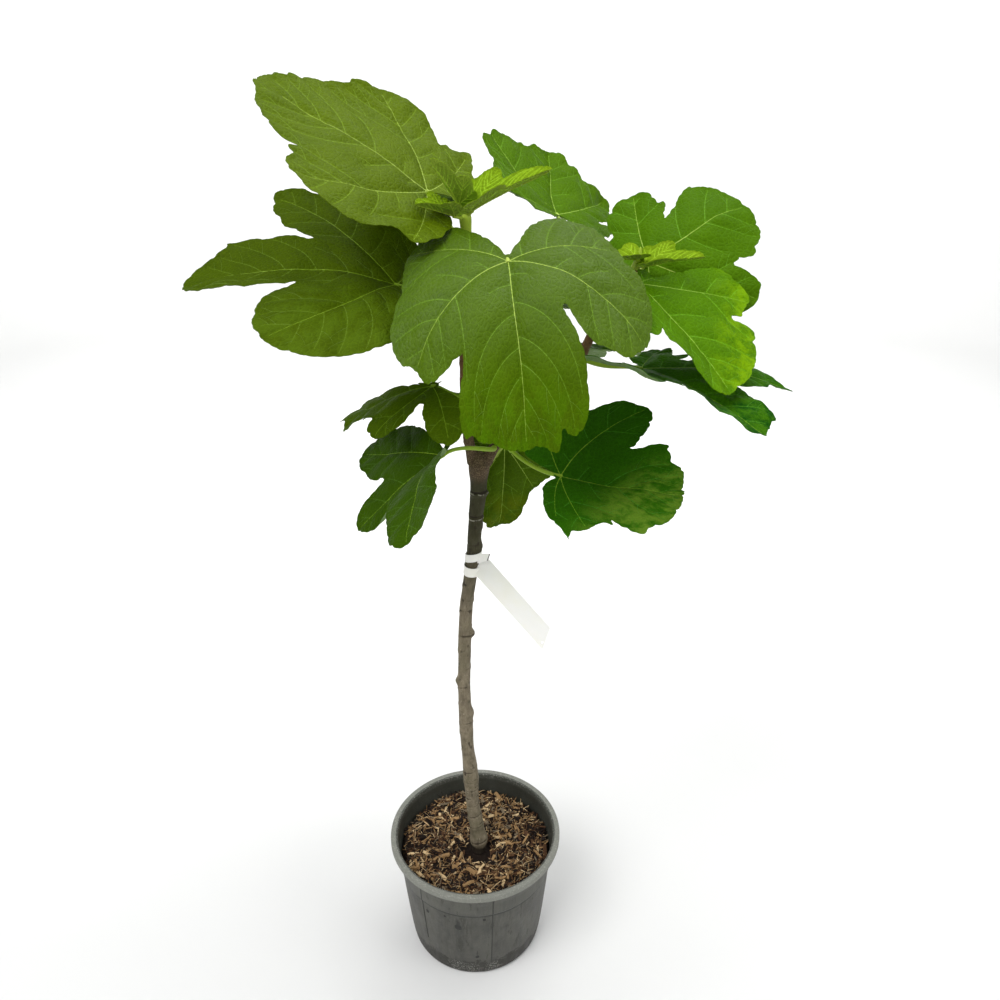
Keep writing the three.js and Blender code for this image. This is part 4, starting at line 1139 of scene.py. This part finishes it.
def add_veins(model, blade):
    """The veins: fine ridges on the top of the blade that stand well out of its underside."""
    for path, wide, rank in blade.veins:
        relief, _ = blade.height(path)
        normals = sheet_normals(path, blade.shape)
        top = blade.style["thickness"] / 2 + 0.12 + 0.16 * wide
        bottom = blade.style["thickness"] / 2 + 0.1 + (1.25 - 0.25 * rank) * wide
        tall = (top + bottom) / 2
        path = sheet(path, blade.shape) + normals * (relief + top - tall)[:, None]
        model.add(*tube(path, wide, tall, (8, 6, 5)[rank], normals), shade=min(rank, 1))


def add_stalk(model, foot, leaving, shape, blade):
    """A stalk from its foot on a limb to the underside of the joint, swollen at both ends."""
    forward, _, up = leaf_axes(shape)
    joint = shape["joint"] + forward * STALK_OVERRUN
    length = np.linalg.norm(joint - foot)
    bow = [foot, foot + STALK_LEAVING * length * leaving, joint - STALK_ARRIVING * length * forward, joint]
    part = np.linspace(0, 1, max(10, int(length / 4)))[:, None]
    path = ((1 - part) ** 3 * bow[0] + 3 * part * (1 - part) ** 2 * bow[1]
            + 3 * part ** 2 * (1 - part) * bow[2] + part ** 3 * bow[3])
    path = path - part ** 6 * up * 1.2
    part = part[:, 0]
    thick, thin = blade.style["stalk"]
    radius = thick + (thin - thick) * part
    radius = radius + 0.9 * np.exp(-part * length / 7) + 0.5 * np.exp(-(1 - part) * length / 6)
    radius[-1] *= 0.75
    model.add(*tube(path, radius, radius, STALK_SIDES))


def leaf_pieces(number, shape):
    """A full-grown leaf: its blade as one piece, its veins and stalk as another."""
    name, paint, tone = shape["name"], shape["paint"], shape["tone"]
    blade = Blade(shape, GROWN, 100 + 17 * number)
    model = Model()
    add_blade(model, blade)
    top = leaf_top(name + "_top", tone, shape.get("gloss", 0.025), shape.get("patch"))
    model.piece(name + "_blade", [name], [top, UNDERS[paint]])
    model = Model()
    add_veins(model, blade)
    limb, height, side = shape["foot"]
    add_stalk(model, *perch(LIMBS[limb], height, side), shape, blade)
    pale = leaf_vein(name + "_side_vein", tone)
    model.piece(name + "_veins", [name], [VEINS[paint], pale])


SHOOT_STYLE = dict(step=0.9, sides=40, rings=[], knots=[], ripple=0.35, crack=0.0)
BUD = (0.5, 1.5, 15)           # how far its point is from its foot


def tip_pieces(name, tip):
    """The soft shoot at the end of a bough, its pointed bud and its young folded leaves."""
    stem = Model()
    add_limb(stem, tip["shoot"], SHOOT_STYLE)
    core, top = (np.array(station[:3], float) for station in tip["shoot"][1:])
    point = np.linspace(0, 1, 12)
    bud = top + np.outer(point, BUD) - 2 * UP
    size = tip["shoot"][2][3] * 0.9 * np.sqrt(np.clip(1 - point ** 1.6, 0.004, 1))
    stem.add(*tube(bud, size, size, 16))
    leaves = Model()
    for number, shape in enumerate(tip["leaves"]):
        blade = Blade(shape, YOUNG, 900 + 13 * number + len(name))
        add_blade(leaves, blade)
        add_veins(stem, blade)
        add_stalk(stem, core, unit(shape["joint"] - core), shape, blade)
    tone = tip["leaves"][0]["tone"]
    leaves.piece(name + "_blades", [name], [leaf_top(name + "_top", tone), UNDERS["young"]])
    pale = leaf_vein(name + "_side_vein", tone)
    stem.piece(name + "_shoot", [name], [VEINS["young"], pale])


# ---------------------------------------------------------------------------------------------
# The pot and what fills it

MIX_EDGE = COLLAR_RADIUS - WALL - MIX_GAP
MIX_FOOT = FLOOR + CLEARANCE + 1
MIX_SHOULDER = 12              # how wide the mound's sloping edge is
DIP = (5.0, 18, 10)            # round the trunk: its depth, radius and width
UNDERSIDE = ((0, 3), (60, 3), (92, 3), (97, 0))        # its raised middle, as (radius, height)
SEAMS = ((-76, 30), (-132, 60), (104, 30))             # compass angle and lowest point
SEAM_TOP = POT_HEIGHT - 15


def pot_wall_radius(z):
    part = np.clip((z - FOOT_EDGE) / (COLLAR_FOOT - FOOT_EDGE), 0, 1)
    return FOOT_RADIUS + (COLLAR_RADIUS - STEP - FOOT_RADIUS) * part ** 0.8


def rounded(corners, radius, steps=4):
    """A profile with each inner corner rounded off by a short curve."""
    corners = np.asarray(corners, float)
    line = [corners[0]]
    for before, corner, after in zip(corners, corners[1:], corners[2:]):
        into, out = before - corner, after - corner
        cut = min(radius, 0.45 * np.linalg.norm(into), 0.45 * np.linalg.norm(out))
        start, end = corner + unit(into) * cut, corner + unit(out) * cut
        for part in np.linspace(0, 1, steps):
            line.append((1 - part) ** 2 * start + 2 * part * (1 - part) * corner + part ** 2 * end)
    line.append(corners[-1])
    return np.array(line)


def pot_profiles():
    """The outer and the inner profile, from the axis to the rim."""
    mouth = RIM_RADIUS - RIM_WIDTH
    flare = COLLAR_RADIUS + (mouth - COLLAR_RADIUS) / 3
    lip = POT_HEIGHT - RIM_DROP
    floor = FLOOR + 0.6
    crest = (mouth + 5.5, POT_HEIGHT - 0.4)
    wall = [(pot_wall_radius(z), z) for z in np.linspace(FOOT_EDGE, COLLAR_FOOT, 14)]
    outside = [*UNDERSIDE, (FOOT_RADIUS - FOOT_EDGE / 2, 0), *wall,
               (COLLAR_RADIUS, COLLAR_FOOT + STEP_HEIGHT), (COLLAR_RADIUS + 1, POT_HEIGHT - FLARE_DROP),
               (flare + WALL, POT_HEIGHT - FLARE_MIDDLE), (RIM_RADIUS - 1.5, lip - 1),
               (RIM_RADIUS, lip), (RIM_RADIUS, POT_HEIGHT), crest]
    inside = [(0, floor), (pot_wall_radius(0) - WALL, floor),
              *[(radius - WALL, z) for radius, z in wall[1:]],
              (COLLAR_RADIUS - WALL, COLLAR_FOOT + STEP_HEIGHT + 1),
              (COLLAR_RADIUS + 1 - WALL, POT_HEIGHT - FLARE_DROP), (flare, POT_HEIGHT - FLARE_MIDDLE),
              (mouth, POT_HEIGHT - 1.5), crest]
    return rounded(outside, 2.2), rounded(inside, 1.6)


def lathe(profile, sides):
    """Points and triangles of a profile of (radius, height) turned round the pot's axis."""
    turn = circle(sides)
    points = np.stack([np.outer(profile[:, 0], np.cos(turn)), np.outer(profile[:, 0], np.sin(turn)),
                       np.repeat(profile[:, 1:2], sides, axis=1)], axis=-1)
    return points.reshape(-1, 3), ring_faces(len(profile), sides)


def out_of_true(height, turn):
    """How far the wall stands out of a true circle, more so higher up."""
    return 0.5 * np.clip(height / POT_HEIGHT, 0, 1) * np.sin(2 * turn + 0.6)


def pot_piece():
    """The pot, a little out of true, with the low ribs that its mould's seams leave."""
    outside, inside = pot_profiles()
    profile = np.r_[outside, inside[::-1][1:]]
    sides = 144
    points, faces = lathe(profile, sides)
    hidden = np.repeat(np.arange(len(profile)) >= len(outside), sides)
    swell = out_of_true(points[:, 2], np.arctan2(points[:, 1], points[:, 0])) + 0.25 * noise(points, 45, 21)
    off_axis = np.hypot(points[:, 0], points[:, 1]) > 5
    points = points + unit(points * [1, 1, 0]) * (swell * off_axis)[:, None]
    model = Model()
    mark = np.where(hidden, INSIDE_MARK, OUTSIDE_MARK)
    model.add(points, faces, 0, np.c_[points[:, :2], mark])
    for side, low in SEAMS:
        part = outside[(outside[:, 1] > low) & (outside[:, 1] < SEAM_TOP) & (outside[:, 0] > 100)]
        radius = part[:, 0] + out_of_true(part[:, 1], radians(side))
        path = np.outer(radius, facing(side)) + np.outer(part[:, 1], UP)
        seam, seam_faces = tube(path, 1.1, 0.7, 8, np.tile(facing(side), (len(path), 1)))
        model.add(seam, seam_faces, 0, np.c_[seam[:, :2], np.full(len(seam), SEAM_MARK)])
    model.piece("pot_shell", ["pot"], [pot_plastic()], sharp=45)


def mix_height(x, y):
    """The top of the potting mix: a low mound, a little dug out round the trunk."""
    radius = np.hypot(x, y)
    crown = MIX_CROWN * (1 - np.clip((radius - MIX_EDGE / 3) / (MIX_EDGE - MIX_EDGE / 3), 0, 1))
    shoulder = MIX_CROWN * np.clip((radius - (MIX_EDGE - MIX_SHOULDER)) / MIX_SHOULDER, 0, 1) ** 2
    spot = np.stack([np.ravel(x), np.ravel(y)], axis=1)
    rough = 2.6 * noise(spot, 17, 31) + 1.2 * noise(spot, 6, 32)
    trunk = LIMBS["trunk"][0]
    depth, middle, width = DIP
    dip = depth * bell(np.hypot(x - trunk[0], y - trunk[1] + 4) - middle, width)
    return MIX_TOP - 1 + crown - shoulder + rough.reshape(np.shape(x)) - dip


def mix_bed():
    """The dark fine stuff between the chips, filled up to the mound's surface."""
    rings, sides = 46, 150
    x, y = np.moveaxis(polar(np.linspace(2, MIX_EDGE, rings)[:, None], circle(sides)[None, :]), -1, 0)
    top = np.stack([x, y, mix_height(x, y)], axis=-1).reshape(-1, 3)
    heights = np.linspace(COLLAR_FOOT, MIX_FOOT, 10)
    wall = [(pot_wall_radius(z) - WALL - MIX_GAP, z) for z in heights] + [(0.5, MIX_FOOT)]
    below, _ = lathe(np.array(wall), sides)
    points = np.r_[top, below, [[0, 0, mix_height(0.0, 0.0).item()]], [[0, 0, MIX_FOOT]]]
    model = Model()
    model.add(points, capped(rings + len(wall), sides)[:, ::-1])
    model.piece("potting_mix_bed", ["potting_mix"], [HUMUS], sharp=80)


# How many chips of each kind, their lengths, widths and thicknesses, and the share of each wood.
CHIP_KINDS = (
    (420, (9, 22), (3, 7), (1.2, 2.6), (0.42, 0.26, 0.18, 0.05, 0.09)),
    (1700, (6, 16), (1.3, 3.0), (0.8, 1.8), (0.42, 0.22, 0.2, 0.08, 0.08)),
    (1500, (9, 28), (0.6, 1.4), (0.5, 1.0), (0.34, 0.22, 0.26, 0.1, 0.08)),
    (85, (11, 21), (5, 9.5), (2.4, 4.6), (0.0, 0.14, 0.4, 0.34, 0.12)),
)


def mix_chips():
    """Bark chips, splinters and shreds that lie on the mix, each a bent wedge."""
    random = np.random.default_rng(5)
    trunk = LIMBS["trunk"][0]
    model = Model()
    for number, lengths, widths, depths, shares in CHIP_KINDS:
        for _ in range(number):
            place = polar((MIX_EDGE - 3) * np.sqrt(random.random()), random.uniform(0, 2 * pi))
            long, wide, deep = (random.uniform(*span) / 2 for span in (lengths, widths, depths))
            heading = random.uniform(0, 2 * pi)
            lift = random.normal(0, 0.3)
            roll = random.normal(0, 0.6)
            wood = random.choice(len(shares), p=shares)
            squeeze = random.uniform(0.45, 1, 4)
            sag = random.uniform(-0.2, 0.2) * long
            away = np.hypot(place[0] - trunk[0], place[1] - trunk[1])
            # Few chips lie in the dip round the trunk
            hollow = away < trunk[3] + 14 and random.random() < 0.6
            if hollow or away < trunk[3] + 2 + 0.4 * long or np.hypot(*place) + 0.8 * long > MIX_EDGE + 4:
                continue
            sections = []
            for step, along in enumerate((-1, -0.35, 0.4, 1)):
                half = wide * squeeze[step]
                rise = sag * (1 - along * along)
                for across, up in ((-1, -1), (1, -1), (0.8, 1), (-0.8, 1)):
                    sections.append((along * long, across * half, up * deep * squeeze[3 - step] + rise))
            height = mix_height(*place) + 0.35 * deep + 0.25 * abs(sin(lift)) * long + 0.8
            points = np.array(sections) @ turned(heading, lift, roll).T + [place[0], place[1], height]
            faces = np.r_[ring_faces(4, 4), [[0, 2, 1], [0, 3, 2], [12, 13, 14], [12, 14, 15]]]
            model.add(points, faces, wood)
    model.piece("potting_mix_chips", ["potting_mix"], CHIP_WOODS, sharp=30)


# ---------------------------------------------------------------------------------------------
# The label

TAG = dict(height=727, inner=10.2, length=153, width=29, slant=16, hole=1.8, hole_place=(145, -8),
           side=-20, drop=45.5, twist=-36)
STRAP_SIDES = 72
STRAP_THICKNESS = 0.55
TAIL_HALF = 0.28               # half the tail's thickness
TAIL_SPACING = 2.5
# Each strap's lower and upper edge, its rise towards the tail and its waviness
STRAPS = ((5.5, 17.5, 3.2, 0.6), (-17.5, -3.5, -1.5, -0.4))
# The strap's pointed end: sections by distance out and lower edge, its foot and its two directions
FLAP = ((-1, -10), (4, -10), (9, -7), (14.1, -5.4), (15.65, -5.4))
FLAP_TOP = 5.6
FLAP_HALF = 0.3
FLAP_FOOT = np.array([9, -7, 13])
FLAP_WAY = unit(np.array([0.96, -0.25, 0.1]))
FLAP_FACE = unit(np.array([0.25, 0.96, 0]))


def tag_pieces():
    """The blank label: two narrow straps round the trunk, a pointed end and the long tail."""
    centres, _ = limb_at(LIMBS["trunk"], np.linspace(0, 1, 2001))
    middle, after = at([TAG["height"], TAG["height"] + 5], centres[:, 2], centres)
    lean = unit(after - middle)
    side = radians(TAG["side"])
    turn = circle(STRAP_SIDES)
    model = Model()
    for low, high, tip, swing in STRAPS:
        radius = TAG["inner"] + 0.5 + 1.1 * np.clip(np.cos(turn - side), 0, 1) ** 2
        slope = tip * np.cos(turn - side) + swing * np.sin(2 * turn)
        section = ((0, low), (0, high), (STRAP_THICKNESS, high), (STRAP_THICKNESS, low))
        loops = np.concatenate([np.c_[polar(radius + inner, turn), slope + height]
                                for inner, height in section])
        faces = ring_faces(5, STRAP_SIDES) % len(loops)
        model.add(loops + np.outer(loops[:, 2], lean * [1, 1, 0]) + middle, faces[:, ::-1])
    add_tail(model, middle + facing(TAG["side"]) * (TAG["inner"] + 0.6))
    flap = [middle + FLAP_FOOT + FLAP_WAY * (far + 0.34 * level) + UP * level + FLAP_FACE * thick
            for far, low in FLAP
            for level, thick in ((low, -FLAP_HALF), (FLAP_TOP, -FLAP_HALF), (FLAP_TOP, FLAP_HALF),
                                 (low, FLAP_HALF))]
    flap_faces = np.r_[ring_faces(len(FLAP), 4), [[16, 17, 18], [16, 18, 19]]]
    cut_end = flap_faces.min(axis=1) >= 12
    model.add(flap, flap_faces, cut_end.astype(int))
    model.piece("plant_tag_label", ["plant_tag"], [label_white(), LABEL_CUT], sharp=40)


def turned(heading, pitch, roll):
    """The rotation that rolls about X, pitches about Y and then turns about Z."""
    turn = Quaternion(UP, heading) @ Quaternion((0, 1, 0), pitch) @ Quaternion((1, 0, 0), roll)
    return np.array(turn.to_matrix())


def add_tail(model, start):
    """The tail: a strip with a slanted end and an eyelet, hanging out and down from the straps."""
    length, wide, slant, hole = TAG["length"], TAG["width"] / 2, TAG["slant"], TAG["hole"]
    eyelet = np.array(TAG["hole_place"], float)
    outline = [(0, -wide), (length, -wide), (length - slant, wide), (0, wide)]
    line = []
    for (x0, y0), (x1, y1) in zip(outline, outline[1:] + outline[:1]):
        steps = max(2, int(np.hypot(x1 - x0, y1 - y0) / TAIL_SPACING))
        for step in range(steps):
            line.append((x0 + (x1 - x0) * step / steps, y0 + (y1 - y0) * step / steps))
    x, y = np.meshgrid(np.arange(2, length, TAIL_SPACING), np.arange(-wide + 2, wide - 1, TAIL_SPACING))
    grid = np.c_[x.ravel(), y.ravel()]
    edge = length - slant * (grid[:, 1] + wide) / (2 * wide)
    grid = grid[(grid[:, 0] < edge - 1.5) & (np.hypot(*(grid - eyelet).T) > hole + 1.2)]
    flat, faces = flat_mesh([*line, *(eyelet + polar(hole, circle(16))), *grid], len(line))
    faces = faces[np.hypot(*(flat[faces].mean(axis=1) - eyelet).T) > hole]
    curl = 2.2 * (flat[:, 1] / wide) ** 2 * np.clip(flat[:, 0] / 40, 0, 1)
    bow = 5.0 * np.sin(pi * flat[:, 0] / length) + 0.8 * noise(flat, 26, 41)
    turn = turned(radians(TAG["side"]), radians(TAG["drop"]), radians(90 + TAG["twist"])).T
    top, bottom = (np.c_[flat, bow - curl + half] @ turn + start for half in (TAIL_HALF, -TAIL_HALF))
    model.add(np.r_[top, bottom], np.concatenate(both_sides(faces, len(flat))))


# ---------------------------------------------------------------------------------------------
# Floor, light and camera.  Lights are placed in metres.

CAMERA_PLACE = (41.1, -1105.1, 1369.5)
CAMERA_PITCH = 26.2            # degrees below level
LENS = 32.4                    # for a sensor 36 mm wide
STUDIO_RADIUS = 4200
STUDIO_CURVE = 900
STUDIO_WALL = 2600
FLOOR_SIDES = 96
PLANT_MIDDLE = (0.05, 0, 0.9)
BACK_WALL = (0, 5.0, 0.8)
LAMPS = (  # name, place, size, power and what it shines on
    ("key", (-1.3, -1.6, 3.3), 2.0, 84, PLANT_MIDDLE), ("top", (0.6, 0.7, 3.6), 2.4, 60, PLANT_MIDDLE),
    ("side", (2.6, -1.2, 2.2), 1.6, 22, PLANT_MIDDLE), ("wall", (0, 1.9, 2.9), 3.0, 110, BACK_WALL),
)


def studio():
    """A pale round floor that turns up into a low wall, and soft light from above."""
    profile = [(1.0, 0.0), (STUDIO_RADIUS, 0.0)]
    for turn in np.linspace(0, pi / 2, 14)[1:]:
        profile.append((STUDIO_RADIUS + STUDIO_CURVE * sin(turn), STUDIO_CURVE * (1 - cos(turn))))
    profile.append((STUDIO_RADIUS + STUDIO_CURVE, STUDIO_WALL))
    points, faces = lathe(np.array(profile), FLOOR_SIDES)
    side = np.arange(1, FLOOR_SIDES - 1)
    faces = np.r_[faces, np.c_[np.zeros_like(side), side, side + 1]]
    mesh = bpy.data.meshes.new("floor")
    mesh.from_pydata((points * MM).tolist(), [], faces.tolist())
    mesh.shade_smooth()
    paint = Paint("floor_white", 0.1, roughness=0.9)
    paint.coat(paint.noise(paint.place, 1.2, 2), (0.82, 0.82, 0.81), (0.8, 0.8, 0.79))
    mesh.materials.append(paint.material)
    floor = placed("floor", mesh)
    world = bpy.data.worlds.new("pale")
    bpy.context.scene.world = world
    world.use_nodes = True
    background = next(n for n in world.node_tree.nodes if n.type == "BACKGROUND")
    background.inputs["Color"].default_value = (0.95, 0.97, 1.0, 1)
    background.inputs["Strength"].default_value = 0.36
    for name, place, size, power, target in LAMPS:
        data = bpy.data.lights.new(name, "AREA")
        data.size = size
        data.energy = power
        lamp = placed(name, data)
        lamp.location = place
        lamp.rotation_euler = (Vector(target) - lamp.location).to_track_quat("-Z", "Y").to_euler()


def camera():
    data = bpy.data.cameras.new("camera")
    data.sensor_width = 36
    data.lens = LENS
    shown = placed("camera", data)
    shown.location = Vector(CAMERA_PLACE) * MM
    shown.rotation_euler = (radians(90 - CAMERA_PITCH), 0, 0)
    bpy.context.scene.camera = shown
    bpy.context.scene.view_settings.view_transform = "Standard"


camera()
studio()
pot_piece()
mix_bed()
mix_chips()

LOW_RINGS, _ = scars(226, 350, 7.5, 0.75, 8)
HIGH_RINGS, HIGH_BUDS = scars(356, 862, 27, 0.55, 9)
TRUNK_STYLE = dict(
    step=1.3, sides=48, ripple=0.5, crack=0.9,
    waists=[(211, 2.0, 8), (188, -5.0, 8), (343, 2.1, 30), (445, 1.2, 30), (872, 0.8, 12)],
    leans=[(215, 3.2, 45), (300, 2.0, 60), (435, 4.8, 46)],
    rings=LOW_RINGS + HIGH_RINGS + [(206, 280, 0.9), (604, 300, 0.7), (800, 270, 0.9), (838, 270, 0.8)],
    knots=HIGH_BUDS + [(392, 262, 2.8, 4.5), (383, 275, -1.6, 3), (461, 10, 3.2, 6), (521, 185, 3.6, 4.5),
                       (609, -5, 5.2, 4), (754, 5, 3.0, 6), (838, -10, 2.2, 4), (215, 120, 2.0, 8)])
# Where the trunk forks: a low dome of bark between the boughs.
CROTCH = [[13, 0.5, FORK + 7, 12.8], [13.5, 1, FORK + 13, 9.5], [14, 1, FORK + 17, 4]]
limb_piece("trunk_wood", "trunk", LIMBS["trunk"] + CROTCH, TRUNK_STYLE, TRUNK_BARK)
for bough, top, seed in (("left_bough", LEFT_TOP, 11), ("right_bough", RIGHT_TOP, 12)):
    bough_rings, bough_buds = scars(FORK + 16, top - 8, 21, 0.55, seed)
    bough_style = dict(step=1.8, sides=36, ripple=0.35, crack=0.35, rings=bough_rings, knots=bough_buds,
                       waists=[(FORK, 2.2, 16)])
    limb_piece(bough + "_wood", bough, LIMBS[bough], bough_style, YOUNG_BARK)
for number, shape in enumerate(LEAVES):
    leaf_pieces(number, shape)
for name, tip in TIPS.items():
    tip_pieces(name, tip)
tag_pieces()
